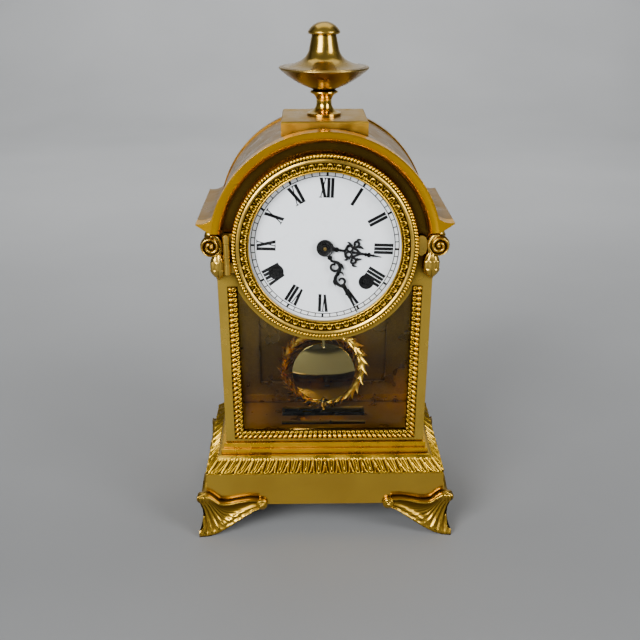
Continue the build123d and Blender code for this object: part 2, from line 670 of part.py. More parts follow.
# ---------------------------------------------------------------- wheels
def gear(size, centre, tooth_at, back, front):
    """Toothed wheel about (x, z): straight-sided teeth, the first pointing at tooth_at degrees."""
    teeth, module = size
    pitch = 360 / teeth
    root = (teeth / 2 - 1.25) * module
    tip = (teeth / 2 + 0.85) * module
    points = []
    for index in range(teeth):
        middle = tooth_at + index * pitch
        for offset, radius in ((-0.27, root), (-0.11, tip), (0.11, tip), (0.27, root)):
            angle = radians(middle + offset * pitch)
            points.append((centre[0] + radius * cos(angle), centre[1] + radius * sin(angle)))
    with BuildSketch(facing(back)) as profile:
        with BuildLine():
            Polyline(*points, close=True)
        make_face()
    extrude(profile.sketch, amount=back - front)


def meshed(size, at, partner_at):
    """First tooth direction that puts a gap of this gear towards its partner."""
    return direction(at, partner_at) + 180 / size[0]


with BuildPart() as centre_arbor:
    disc(CENTRE, ARBOR_R, ARBOR_ENDS[0], -31.2)
    disc(CENTRE, 0.9, MINUTE_HAND_Y[0], -39.4)
    gear(CENTRE_WHEEL, CENTRE, direction(CENTRE, THIRD_AT), -22.5, -24.0)
    gear(CENTRE_PINION, CENTRE, meshed(CENTRE_PINION, CENTRE, SECOND_AT), -6.5, -10.0)
    gear(CANNON, CENTRE, direction(CENTRE, MINUTE_AT), -29.8, -31.2)
    disc(CENTRE, 2.2, -31.2, MINUTE_HAND_Y[0])
keep(centre_arbor, "centre_arbor")

with BuildPart() as minute_wheel:
    gear(MINUTE, MINUTE_AT, meshed(MINUTE, MINUTE_AT, CENTRE), -29.9, -31.0)
    gear(MINUTE_PINION, MINUTE_AT, direction(MINUTE_AT, CENTRE), -31.0, -33.3)
    disc(MINUTE_AT, PIVOT_R + RUNNING, -29.9, -33.3, Mode.SUBTRACT)
keep(minute_wheel, "minute_wheel")

with BuildPart() as hour_wheel:
    gear(HOUR, CENTRE, meshed(HOUR, CENTRE, MINUTE_AT), -31.9, -33.1)
    disc(CENTRE, 3.2, -33.1, -35.8)
    disc(CENTRE, 2.2 + RUNNING, -31.9, -35.8, Mode.SUBTRACT)
keep(hour_wheel, "hour_wheel")

with BuildPart() as second_wheel:
    disc(SECOND_AT, PIVOT_R, *ARBOR_ENDS)
    gear(SECOND_PINION, SECOND_AT, meshed(SECOND_PINION, SECOND_AT, LEFT), -11.5, -14.0)
    gear(SECOND, SECOND_AT, direction(SECOND_AT, CENTRE), -7.5, -9.0)
keep(second_wheel, "second_wheel")

with BuildPart() as third_wheel:
    disc(THIRD_AT, PIVOT_R, *ARBOR_ENDS)
    gear(THIRD_PINION, THIRD_AT, meshed(THIRD_PINION, THIRD_AT, CENTRE), -21.5, -25.0)
    gear(THIRD, THIRD_AT, direction(THIRD_AT, ESCAPE_AT), -17.5, -19.0)
keep(third_wheel, "third_wheel")

with BuildPart() as escape_wheel:
    disc(ESCAPE_AT, PIVOT_R, *ARBOR_ENDS)
    gear(ESCAPE_PINION, ESCAPE_AT, meshed(ESCAPE_PINION, ESCAPE_AT, THIRD_AT), -16.5, -20.0)
    gear((30, 2 * ESCAPE_R / 31.7), ESCAPE_AT, 90, -11.8, -13.0)
keep(escape_wheel, "escape_wheel")

BARREL_BOX_R = 11.6
for side, arbor, tooth_at in (("going", LEFT, direction(LEFT, SECOND_AT)), ("strike", RIGHT, 0)):
    with BuildPart() as barrel:
        disc(arbor, BARREL_BOX_R, -13.6, -25.0)
        gear(BARREL, arbor, tooth_at, -12.2, -13.6)
        disc(arbor, WINDING_ARBOR_R + RUNNING, -12.2, -25.0, Mode.SUBTRACT)
    keep(barrel, f"{side}_barrel")
    with BuildPart() as winding_arbor:
        disc(arbor, WINDING_ARBOR_R, ARBOR_ENDS[0], -31.0)
        disc(arbor, 7.0, -25.4, -27.0)
        with BuildSketch(facing(-31.0)):
            with Locations(arbor):
                Rectangle(3.2, 3.2)
        extrude(amount=4.3)
    keep(winding_arbor, f"{side}_winding_arbor")


# ---------------------------------------------------------------- hands
HOUR_ANGLE = -10.0         # directions of the hands, in degrees from +X
MINUTE_ANGLE = -64.0
HOUR_LENGTH = 32.0
MINUTE_LENGTH = 41.0


def hand(length, angle, hub, loops, depths, bore):
    """Pierced serpentine hand: hub, tapering blade and open loops at fractions of its length."""
    across = angle + 90
    with BuildSketch(facing(depths[0])) as profile:
        with Locations(CENTRE):
            Circle(hub)
        for width, start, end in ((1.8, hub - 0.6, 0.36), (1.5, 0.36 * length, 0.72),
                                   (1.0, 0.72 * length, 1.0)):
            middle = polar((start + end * length) / 2, angle)
            with Locations(Location((*middle, 0), (0, 0, angle))):
                Rectangle(end * length - start + 0.2, width)
        for place, offset, radius in loops:
            along = polar(place * length, angle)
            spot = (along[0] + offset * cos(radians(across)), along[1] + offset * sin(radians(across)))
            with Locations(spot):
                Circle(radius)
                Circle(radius - 1.0, mode=Mode.SUBTRACT)
        with Locations(CENTRE):
            Circle(bore, mode=Mode.SUBTRACT)
    extrude(profile.sketch, amount=depths[0] - depths[1])


HOUR_LOOPS = ((0.45, 2.2, 2.3), (0.45, -2.2, 2.3), (0.62, 1.8, 1.9), (0.62, -1.8, 1.9))
MINUTE_LOOPS = ((0.32, 1.6, 1.9), (0.42, -1.6, 1.9), (0.55, 1.4, 1.7), (0.64, -1.4, 1.7))

with BuildPart() as hour_hand:
    hand(HOUR_LENGTH, HOUR_ANGLE, 4.4, HOUR_LOOPS, HOUR_HAND_Y, 2.2 + RUNNING)
keep(hour_hand, "hour_hand")

with BuildPart() as minute_hand:
    hand(MINUTE_LENGTH, MINUTE_ANGLE, 3.9, MINUTE_LOOPS, MINUTE_HAND_Y, 0.91)
keep(minute_hand, "minute_hand")

with BuildPart() as hand_nut:
    disc(CENTRE, 2.1, MINUTE_HAND_Y[1], -38.6)
    disc(CENTRE, 0.91, MINUTE_HAND_Y[1], -38.6, Mode.SUBTRACT)
keep(hand_nut, "hand_nut")


# ---------------------------------------------------------------- escapement and pendulum
PALLET_CLEAR = 0.9         # room that the rocking pallets leave round the escape wheel
CRUTCH_Y = (3.4, 2.2)

with BuildPart() as anchor_and_crutch:
    disc(ANCHOR_AT, PIVOT_R, CRUTCH_Y[0], ARBOR_ENDS[1])
    with BuildSketch(facing(-11.6)):
        with Locations(ANCHOR_AT):
            Circle(2.2)
        with BuildLine():
            Polyline((0, ANCHOR_AT[1] + 1.6), (9.4, ANCHOR_AT[1] - 5.2), (9.9, ANCHOR_AT[1] - 8.6),
                     (8.6, ANCHOR_AT[1] - 7.6), (8.0, ANCHOR_AT[1] - 5.4), (0, ANCHOR_AT[1] - 1.6),
                     (-8.0, ANCHOR_AT[1] - 5.4), (-8.6, ANCHOR_AT[1] - 7.6), (-9.9, ANCHOR_AT[1] - 8.6),
                     (-9.4, ANCHOR_AT[1] - 5.2), close=True)
        make_face()
    extrude(amount=1.6)
    with BuildSketch(facing(-11.6)):
        with Locations(ESCAPE_AT):
            Circle(ESCAPE_R + PALLET_CLEAR)
    extrude(amount=1.6, mode=Mode.SUBTRACT)
    with BuildSketch(facing(CRUTCH_Y[0])):
        with Locations(ANCHOR_AT):
            Circle(2.4)
        upright_rectangle(0.9, 176.0, ANCHOR_AT[1])
    extrude(amount=CRUTCH_Y[0] - CRUTCH_Y[1])
    block((-2.8, -1.5), (CRUTCH_Y[1], PENDULUM_Y + 1.5), (176.0, 177.6))
    block((1.5, 2.8), (CRUTCH_Y[1], PENDULUM_Y + 1.5), (176.0, 177.6))
    block((-2.8, 2.8), (CRUTCH_Y[1], CRUTCH_Y[0]), (176.0, 177.6))
keep(anchor_and_crutch, "anchor_and_crutch")

HOOK_R = 3.0
PENDULUM_ROD_R = 1.1
BOB_HALF = 3.6

with BuildPart() as pendulum_cock:
    block((-5.0, 5.0), (BACK_PLATE_Y, BACK_PLATE_Y + 1.4), (ANCHOR_AT[1] + 3.0, ARCH_Z + 44.5))
    block((-5.0, 5.0), (BACK_PLATE_Y, PENDULUM_Y + 6.4), (ANCHOR_AT[1] + 4.2, ANCHOR_AT[1] + 6.0))
    block((-3.0, 3.0), (PENDULUM_Y + 4.6, PENDULUM_Y + 6.4), (ANCHOR_AT[1] - 3.0, ANCHOR_AT[1] + 6.0))
    disc(ANCHOR_AT, PIVOT_R, PENDULUM_Y + 6.4, PENDULUM_Y - 3.4)
keep(pendulum_cock, "pendulum_cock")

with BuildPart() as pendulum_rod:
    disc(ANCHOR_AT, HOOK_R, PENDULUM_Y + 1.4, PENDULUM_Y - 1.4)
    disc(ANCHOR_AT, PIVOT_R + RUNNING, PENDULUM_Y + 1.4, PENDULUM_Y - 1.4, Mode.SUBTRACT)
    post((0, PENDULUM_Y), PENDULUM_ROD_R, BOB_Z - BOB_R - 7.0, ANCHOR_AT[1] - 2.0)
keep(pendulum_rod, "pendulum_rod")

with BuildPart() as pendulum_bob:
    with BuildSketch(Plane.XY.offset(BOB_Z)):
        with BuildLine():
            ThreePointArc((0, PENDULUM_Y - BOB_HALF), (BOB_R * 0.6, PENDULUM_Y - BOB_HALF * 0.62),
                          (BOB_R, PENDULUM_Y - 0.6))
            Line((BOB_R, PENDULUM_Y - 0.6), (BOB_R, PENDULUM_Y + 0.6))
            ThreePointArc((BOB_R, PENDULUM_Y + 0.6), (BOB_R * 0.6, PENDULUM_Y + BOB_HALF * 0.62),
                          (0, PENDULUM_Y + BOB_HALF))
            Line((0, PENDULUM_Y + BOB_HALF), (0, PENDULUM_Y - BOB_HALF))
        make_face()
    revolve(axis=Axis((0, 0, BOB_Z), (0, 1, 0)))
    post((0, PENDULUM_Y), PENDULUM_ROD_R + 0.02, BOB_Z - BOB_R - 1, BOB_Z + BOB_R + 1, Mode.SUBTRACT)
keep(pendulum_bob, "pendulum_bob")

with BuildPart() as rating_nut:
    post((0, PENDULUM_Y), 2.9, BOB_Z - BOB_R - 3.4, BOB_Z - BOB_R - 0.2)
    post((0, PENDULUM_Y), PENDULUM_ROD_R + 0.02, BOB_Z - BOB_R - 4, BOB_Z - BOB_R, Mode.SUBTRACT)
keep(rating_nut, "rating_nut")


# ---------------------------------------------------------------- strike bell and hammer
BELL_AT = (0, 195.0)
BELL_R = 23.5
BELL_MOUTH = 12.0
BELL_CROWN = 26.0
STRAP_BACK = 28.8          # back face of the strap that carries the bell

with BuildPart() as strike_bell:
    with BuildSketch(Plane.XY.offset(BELL_AT[1])):
        with BuildLine():
            Line((BELL_R, BELL_MOUTH), (BELL_R - 1.2, BELL_MOUTH))
            ThreePointArc((BELL_R - 1.2, BELL_MOUTH), (17.2, 20.6), (2.0, BELL_CROWN - 1.2))
            Line((2.0, BELL_CROWN - 1.2), (2.0, BELL_CROWN))
            ThreePointArc((2.0, BELL_CROWN), (18.1, 21.5), (BELL_R, BELL_MOUTH))
        make_face()
    revolve(axis=Axis((0, 0, BELL_AT[1]), (0, 1, 0)))
keep(strike_bell, "strike_bell")

with BuildPart() as bell_stand:
    disc(STAND_AT, 1.8, STRAP_BACK, BACK_PLATE_Y)
    with BuildSketch(facing(STRAP_BACK)):
        with Locations(STAND_AT):
            Circle(3.0)
        with Locations(BELL_AT):
            Circle(3.0)
        middle = ((STAND_AT[0] + BELL_AT[0]) / 2, (STAND_AT[1] + BELL_AT[1]) / 2)
        with Locations(Location((*middle, 0), (0, 0, direction(BELL_AT, STAND_AT)))):
            Rectangle(hypot(STAND_AT[0] - BELL_AT[0], STAND_AT[1] - BELL_AT[1]), 4.4)
    extrude(amount=2.0)
    disc(BELL_AT, 1.95, STRAP_BACK - 2.0, BELL_CROWN - 3.0)
keep(bell_stand, "bell_stand")

HAMMER_Y = (16.0, 12.5)
HAMMER_HEAD_Z = 195.0

with BuildPart() as strike_hammer:
    disc(HAMMER_AT, 3.4, *HAMMER_Y)
    post((HAMMER_AT[0], sum(HAMMER_Y) / 2), 1.1, HAMMER_AT[1] + 2.0, HAMMER_HEAD_Z)
    disc((HAMMER_AT[0], HAMMER_HEAD_Z), 3.3, HAMMER_Y[0] + 1.5, HAMMER_Y[1] - 1.5)
    disc(HAMMER_AT, ARBOR_R + RUNNING, *HAMMER_Y, Mode.SUBTRACT)
keep(strike_hammer, "strike_hammer")


# ---------------------------------------------------------------- wreath behind the pendulum
WREATH_R = 24.5
WREATH_TUBE = 4.2
WREATH_Z = 86.9
WREATH_Y = 22.0

with BuildPart() as rear_wreath:
    with BuildSketch(Plane.XY.offset(WREATH_Z)):
        with Locations((WREATH_R, WREATH_Y)):
            Circle(WREATH_TUBE)
    revolve(axis=Axis((0, 0, WREATH_Z), (0, 1, 0)))
    for sign in (-1, 1):
        block(sorted((sign * 5.0, sign * 9.0)), (WREATH_Y + 3.4, WREATH_Y + 5.4),
              (FLOOR_TOP, WREATH_Z - 21.0))
        block(sorted((sign * 5.0, sign * 9.0)), (WREATH_Y + 3.4, WREATH_Y + 9.4),
              (FLOOR_TOP, FLOOR_TOP + 1.6))
keep(rear_wreath, "rear_wreath")


# ---------------------------------------------------------------- rear door
DOOR_PIN_R = 1.2
DOOR_KNUCKLE_R = 2.3
DOOR_HINGES = (92.0, 172.0)      # heights where each hinge's two knuckles meet
KNUCKLE_LENGTH = 9.0
KNOB_AT = (-40.0, 150.0)
KNOB_SPINDLE_R = 1.5

with BuildPart() as rear_door:
    with BuildSketch(facing(DOOR_BACK)):
        upright_rectangle(DOOR_X, DOOR_BOTTOM, ARCH_Z)
        with Locations(CENTRE):
            Circle(DOOR_X)
    extrude(amount=DOOR_BACK - DOOR_FRONT)
    for level in DOOR_HINGES:
        post((DOOR_HINGE_X, DOOR_HINGE_Y), DOOR_KNUCKLE_R, level - KNUCKLE_LENGTH, level)
        block((43.0, DOOR_HINGE_X), (DOOR_BACK - 0.2, DOOR_BACK + 1.2), (level - KNUCKLE_LENGTH, level))
        post((DOOR_HINGE_X, DOOR_HINGE_Y), DOOR_PIN_R + RUNNING, level - KNUCKLE_LENGTH, level,
             Mode.SUBTRACT)
    disc(KNOB_AT, KNOB_SPINDLE_R + RUNNING, DOOR_BACK, DOOR_FRONT, Mode.SUBTRACT)
keep(rear_door, "rear_door")

with BuildPart() as rear_door_hinges:
    for level in DOOR_HINGES:
        base = level + KNUCKLE_GAP
        post((DOOR_HINGE_X, DOOR_HINGE_Y), DOOR_PIN_R, level - KNUCKLE_LENGTH - 0.6, base + KNUCKLE_LENGTH)
        post((DOOR_HINGE_X, DOOR_HINGE_Y), DOOR_KNUCKLE_R, base, base + KNUCKLE_LENGTH)
        block((DOOR_HINGE_X, 60.0), (BODY_Y, BODY_Y + 1.3), (base, base + KNUCKLE_LENGTH))
keep(rear_door_hinges, "rear_door_hinges")

with BuildPart() as rear_door_knob:
    disc(KNOB_AT, KNOB_SPINDLE_R, 39.6, 31.4)
    with BuildSketch(facing(33.3)):
        with Locations((KNOB_AT[0], KNOB_AT[1] - 3.5)):
            Rectangle(5.0, 12.0)
    extrude(amount=1.9)
    disc(KNOB_AT, 2.6, 40.2, DOOR_BACK + 0.1)
    disc(KNOB_AT, 5.0, 43.6, 40.2)
    fillet(rear_door_knob.edges().filter_by(GeomType.CIRCLE).sort_by(Axis.Y)[-1], radius=1.2)
keep(rear_door_knob, "rear_door_knob")
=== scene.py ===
import json
import math
import random

import bmesh
import bpy
from mathutils import Matrix, Vector

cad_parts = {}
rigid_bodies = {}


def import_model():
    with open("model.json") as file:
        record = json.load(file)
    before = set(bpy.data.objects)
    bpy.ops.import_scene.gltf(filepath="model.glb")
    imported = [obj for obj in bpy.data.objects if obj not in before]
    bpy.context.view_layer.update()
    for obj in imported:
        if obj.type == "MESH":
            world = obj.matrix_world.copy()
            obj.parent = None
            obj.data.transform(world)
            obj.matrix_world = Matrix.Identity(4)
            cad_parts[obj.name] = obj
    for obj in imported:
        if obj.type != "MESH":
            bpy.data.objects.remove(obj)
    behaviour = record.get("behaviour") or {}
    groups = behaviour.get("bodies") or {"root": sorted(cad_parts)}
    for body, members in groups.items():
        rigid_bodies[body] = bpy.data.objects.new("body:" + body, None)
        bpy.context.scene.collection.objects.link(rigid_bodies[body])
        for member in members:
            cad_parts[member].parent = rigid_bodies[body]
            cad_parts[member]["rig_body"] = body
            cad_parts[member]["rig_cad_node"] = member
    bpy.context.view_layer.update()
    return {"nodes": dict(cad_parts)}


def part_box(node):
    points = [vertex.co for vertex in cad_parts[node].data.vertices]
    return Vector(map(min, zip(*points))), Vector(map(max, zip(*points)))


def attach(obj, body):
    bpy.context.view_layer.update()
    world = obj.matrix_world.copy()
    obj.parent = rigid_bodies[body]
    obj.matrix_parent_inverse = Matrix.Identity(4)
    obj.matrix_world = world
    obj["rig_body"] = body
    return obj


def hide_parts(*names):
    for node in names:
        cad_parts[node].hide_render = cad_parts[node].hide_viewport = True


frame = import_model()
nodes = frame["nodes"]

MM = 0.001
DIAL_X, DIAL_Z = 0.0, 188.2                # centre of the dial and of the arched roof
TURN = math.tau


# ---------------------------------------------------------------- shader building

class Shader:
    """One material, whose nodes are added and joined by the names of their sockets."""

    def __init__(self, name):
        self.material = bpy.data.materials.new(name)
        self.material.use_nodes = True
        self.tree = self.material.node_tree
        self.surface = self.tree.nodes["Principled BSDF"]

    def set(self, target, inputs):
        for key, value in inputs.items():
            socket = target.inputs[key]
            if isinstance(value, bpy.types.NodeSocket):
                self.tree.links.new(value, socket)
            else:
                socket.default_value = value

    def add(self, kind, inputs=None, **properties):
        made = self.tree.nodes.new(kind)
        for key, value in properties.items():
            setattr(made, key, value)
        self.set(made, inputs or {})
        return made

    def noise(self, scale, detail=4.0, stretch=(1.0, 1.0, 1.0), distortion=0.0):
        place = self.add("ShaderNodeTexCoord").outputs["Object"]
        spread = self.add("ShaderNodeMapping", {"Vector": place, "Scale": stretch})
        return self.add("ShaderNodeTexNoise", {
            "Vector": spread.outputs["Vector"], "Scale": scale, "Detail": detail,
            "Distortion": distortion}).outputs["Fac"]

    def ranged(self, value, low, high, to_low, to_high):
        return self.add("ShaderNodeMapRange", {
            "Value": value, "From Min": low, "From Max": high,
            "To Min": to_low, "To Max": to_high}).outputs["Result"]

    def mixed(self, factor, first, second):
        made = self.add("ShaderNodeMix", {0: factor, 6: first, 7: second}, data_type="RGBA")
        return made.outputs[2]

    def bumped(self, height, strength, distance, normal=None):
        inputs = {"Height": height, "Strength": strength, "Distance": distance}
        if normal is not None:
            inputs["Normal"] = normal
        return self.add("ShaderNodeBump", inputs).outputs["Normal"]

    def soft_edges(self, radius):
        return self.add("ShaderNodeBevel", {"Radius": radius}, samples=4).outputs["Normal"]

    def hollows(self, distance):
        """Near 0 in a crevice and 1 on open metal."""
        return self.add("ShaderNodeAmbientOcclusion", {"Distance": distance},
                        samples=12).outputs["AO"]


def rgb(red, green, blue):
    return (red, green, blue, 1.0)


AGED = (0.72, 0.64, 0.55)                  # how far tarnish lowers red, green and blue
CASE_ROOM = 0.10                           # metres: a face with less air before it is indoors and gets painted shade


def brass(name, colour, roughness, hollow=0.003, cast=0.0, brushed=None, edge=0.0004,
          lacquer=0.18, dark=(0.10, 0.055, 0.012), tarnish=0.35, interior_shade=None, shaded_ground=False,
          open_range=(0.25, 0.85)):
    """Brass with clouds of tarnish, painted shade in its hollows, wear in its shine and fine
    scratches.

    dark is the painted shade of crevices narrower than hollow; open_range says how soon a face
    leaves it. The interior shade colour is painted shade on faces deep inside the case. A piece
    whose points carry a relief value gets painted shade on its sunk ground, which is also matt.
    """
    s = Shader(name)
    clouds = s.noise(38.0, 5.0, distortion=0.6)
    smudges = s.noise(90.0, 2.0, distortion=0.3)
    grain = s.noise(2600.0, 2.0)
    base = rgb(*colour)
    aged = rgb(*(part * fading for part, fading in zip(colour, AGED)))
    toned = s.mixed(s.ranged(clouds, 0.42, 0.72, 0.0, tarnish), base, aged)
    # painted shade: crevices found by ambient occlusion are darkened towards dark
    open_metal = s.ranged(s.hollows(hollow), *open_range, 0.0, 1.0)
    toned = s.mixed(open_metal, rgb(*dark), toned)
    # painted shade: faces deep inside the case are darkened to the interior tone
    if interior_shade is not None:
        out_of_case = s.ranged(s.hollows(CASE_ROOM), 0.02, 0.30, 0.0, 1.0)
        toned = s.mixed(out_of_case, rgb(*interior_shade), toned)
    shine = s.ranged(smudges, 0.3, 0.7, roughness * 0.75, roughness * 1.35)
    # painted shade: the sunk ground between the crests is darkened, and made rougher
    if shaded_ground:
        relief = s.add("ShaderNodeAttribute", attribute_name="relief").outputs["Fac"]
        toned = s.mixed(s.ranged(relief, 0.12, 0.55, 0.0, 1.0), rgb(*dark), toned)
        shine = s.add("ShaderNodeMath", {0: s.ranged(relief, 0.1, 0.6, 0.25, 0.0), 1: shine},
                      operation="ADD").outputs[0]
    normal = s.soft_edges(edge)
    if brushed is not None:
        lines = s.noise(260.0, 4.0, stretch=brushed)
        normal = s.bumped(lines, 0.25, 0.0001, normal)
    if cast:
        pits = s.noise(520.0, 6.0, distortion=0.4)
        normal = s.bumped(pits, cast, 0.0006, normal)
    normal = s.bumped(grain, 0.12, 0.00003, normal)
    s.set(s.surface, {"Base Color": toned, "Metallic": 1.0, "Roughness": shine,
                      "Normal": normal, "Coat Weight": lacquer, "Coat Roughness": 0.08})
    return s.material


def clear_glass(name, tint, smear):
    """Thin glass: the shine of glass by angle, and clear where it doesn't shine."""
    s = Shader(name)
    facing = s.add("ShaderNodeLayerWeight", {"Blend": 0.5}).outputs["Facing"]
    grazing = s.add("ShaderNodeMath", {0: facing, 1: 5.0}, operation="POWER").outputs[0]
    shine = s.ranged(grazing, 0.0, 1.0, 0.014, 0.9)
    dust = s.ranged(s.noise(90.0, 5.0, distortion=0.8), 0.45, 0.8, 0.0, smear)
    cover = s.add("ShaderNodeMath", {0: shine, 1: dust}, operation="ADD").outputs[0]
    tone = s.mixed(s.noise(14.0, 2.0), rgb(*tint), rgb(1.0, 1.0, 1.0))
    s.set(s.surface, {"Base Color": tone, "Metallic": 1.0, "Roughness": 0.03, "Alpha": cover})
    return s.material


def enamel(name, colour, shade, roughness, speck, gloss=0.5, coat=0.4):
    """Fired enamel or lacquer: nearly even, with faint clouds and a soft gloss."""
    s = Shader(name)
    clouds = s.ranged(s.noise(45.0, 4.0), 0.35, 0.75, 0.0, 1.0)
    tone = s.mixed(clouds, rgb(*colour), rgb(*shade))
    ripples = s.bumped(s.noise(420.0, 3.0), speck, 0.0001, s.soft_edges(0.0002))
    shine = s.ranged(s.noise(160.0, 3.0), 0.3, 0.7, roughness * 0.8, roughness * 1.3)
    s.set(s.surface, {"Base Color": tone, "Roughness": shine, "Normal": ripples,
                      "Specular IOR Level": gloss, "Coat Weight": coat,
                      "Coat Roughness": 0.08})
    return s.material


def paper_floor():
    """Seamless pale grey backdrop with the slightest unevenness."""
    s = Shader("backdrop_grey")
    patches = s.ranged(s.noise(3.0, 4.0), 0.3, 0.7, 0.0, 1.0)
    tone = s.mixed(patches, rgb(0.168, 0.172, 0.175), rgb(0.190, 0.194, 0.197))
    fibres = s.bumped(s.noise(900.0, 3.0), 0.15, 0.0001)
    s.set(s.surface, {"Base Color": tone, "Roughness": 0.75, "Normal": fibres})
    return s.material


# painted shade: the dark amber that faces deep inside the case are turned to
INTERIOR_SHADE_TONE = (0.095, 0.055, 0.010)
POLISHED = brass("brass_polished", (0.74, 0.46, 0.05), 0.17, brushed=(0.04, 1.0, 1.0),
                 interior_shade=INTERIOR_SHADE_TONE)
# painted shade: the front wall darkens near-black where the cornice and bezel close over it
WALL = brass("brass_front_wall", (0.82, 0.53, 0.07), 0.21, hollow=0.030, edge=0.0002,
             dark=(0.050, 0.018, 0.0005), brushed=(0.04, 1.0, 1.0), lacquer=0.1,
             open_range=(0.48, 0.84))
SHEET = brass("brass_inner_sheet", (0.70, 0.44, 0.06), 0.30, edge=0.0002,
              tarnish=0.1, interior_shade=INTERIOR_SHADE_TONE)
# painted shade: a darker copy of the case brass for the upward-facing vault
ROOF = brass("brass_roof_sheet", (0.37, 0.20, 0.024), 0.30, brushed=(1.0, 0.05, 0.05),
             lacquer=0.0, tarnish=0.12)
# painted light: a brighter, more saturated amber than the case brass stands in for light bounced
# round the cove; painted shade darkens it towards the bezel
COVE = brass("brass_cove", (0.98, 0.50, 0.006), 0.22, hollow=0.008, lacquer=0.0, edge=0.0001,
             dark=(0.46, 0.20, 0.002), tarnish=0.1)
RAIL = brass("brass_rail", (0.98, 0.54, 0.010), 0.28, brushed=(0.04, 1.0, 1.0), lacquer=0.08,
             interior_shade=INTERIOR_SHADE_TONE)
FLOOR = brass("brass_case_floor", (0.44, 0.26, 0.035), 0.34, brushed=(0.04, 1.0, 1.0),
              lacquer=0.0)
# painted shade: the bottom plate under the base is near black
UNDER = brass("base_bottom_painted_shade", (0.03, 0.028, 0.03), 0.45, dark=(0.004, 0.004, 0.005))
CAST = {"lacquer": 0.0, "shaded_ground": True}    # what all the castings share: no lacquer, and painted shade on their sunk ground
GILT = brass("brass_gilt_cast", (0.78, 0.46, 0.030), 0.26, hollow=0.0010, cast=0.08,
             dark=(0.030, 0.014, 0.001), **CAST)
FOOT = brass("brass_foot_cast", (0.51, 0.31, 0.032), 0.24, hollow=0.0030, cast=0.12,
             dark=(0.060, 0.029, 0.003), **CAST)
CAPITAL = brass("brass_capital_cast", (0.60, 0.38, 0.06), 0.24, hollow=0.0010, cast=0.08,
                dark=(0.045, 0.022, 0.002), **CAST)
LAUREL = brass("brass_laurel", (0.80, 0.50, 0.045), 0.26, hollow=0.0012, cast=0.08, edge=0.0001,
               dark=(0.14, 0.075, 0.010), lacquer=0.0)
PLINTH = brass("brass_plinth_block", (0.54, 0.32, 0.035), 0.36, brushed=(0.04, 1.0, 1.0),
               lacquer=0.0, tarnish=0.15)
ACANTHUS = brass("brass_acanthus_cast", (0.60, 0.36, 0.022), 0.28, hollow=0.0012, cast=0.08,
                 dark=(0.040, 0.018, 0.001), **CAST)
BEZEL = brass("brass_bezel_turned", (0.58, 0.37, 0.058), 0.32, hollow=0.002, lacquer=0.1,
              dark=(0.030, 0.013, 0.002))
FINIAL = brass("brass_finial_satin", (0.36, 0.23, 0.05), 0.30, hollow=0.005, cast=0.05)
LID = brass("brass_finial_lid", (0.46, 0.29, 0.042), 0.22, hollow=0.005, cast=0.05)
MOVEMENT = brass("brass_movement", (0.70, 0.46, 0.10), 0.28, brushed=(1.0, 0.05, 0.05))
BELL = brass("bell_metal", (0.60, 0.45, 0.24), 0.22, dark=(0.08, 0.06, 0.04))
BOB = brass("brass_bob_bright", (0.34, 0.28, 0.09), 0.05, tarnish=0.15)
STEEL = brass("steel_blued_grey", (0.30, 0.31, 0.33), 0.28, dark=(0.03, 0.03, 0.03))
# painted shade: the winding squares get a near-black copy of the steel
SQUARE = brass("steel_winding_square", (0.012, 0.012, 0.013), 0.45, dark=(0.004, 0.004, 0.004))
GLASS = clear_glass("glass_clear", (0.93, 0.96, 0.95), 0.003)
WHITE = enamel("enamel_white", (0.91, 0.95, 0.99), (0.88, 0.925, 0.97), 0.30, 0.03)
BLACK = enamel("enamel_black", (0.002, 0.002, 0.002), (0.004, 0.004, 0.005), 0.30, 0.05,
               gloss=0.22, coat=0.0)
PRINT = enamel("dial_black_print", (0.002, 0.002, 0.002), (0.004, 0.004, 0.005), 0.6, 0.02,
               gloss=0.08, coat=0.0)


# ---------------------------------------------------------------- mesh building

def add_piece(name, vertices, faces, material, body, smooth=True, relief=None):
    """A mesh from points in millimetres, which moves with a CAD body."""
    shell = bmesh.new()
    for point in vertices:
        shell.verts.new(Vector(point) * MM)
    shell.verts.ensure_lookup_table()
    for face in faces:
        corners = [shell.verts[index] for index in dict.fromkeys(face)]
        if len(corners) > 2 and shell.faces.get(corners) is None:
            shell.faces.new(corners)
    bmesh.ops.recalc_face_normals(shell, faces=shell.faces)
    data = bpy.data.meshes.new(name)
    shell.to_mesh(data)
    shell.free()
    if relief:
        marks = data.attributes.new("relief", "FLOAT", "POINT")
        marks.data.foreach_set("value", [relief.get(i, 1.0) for i in range(len(vertices))])
    data.materials.append(material)
    data.polygons.foreach_set("use_smooth", [smooth] * len(data.polygons))
    piece = bpy.data.objects.new(name, data)
    bpy.context.scene.collection.objects.link(piece)
    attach(piece, body)
    return piece


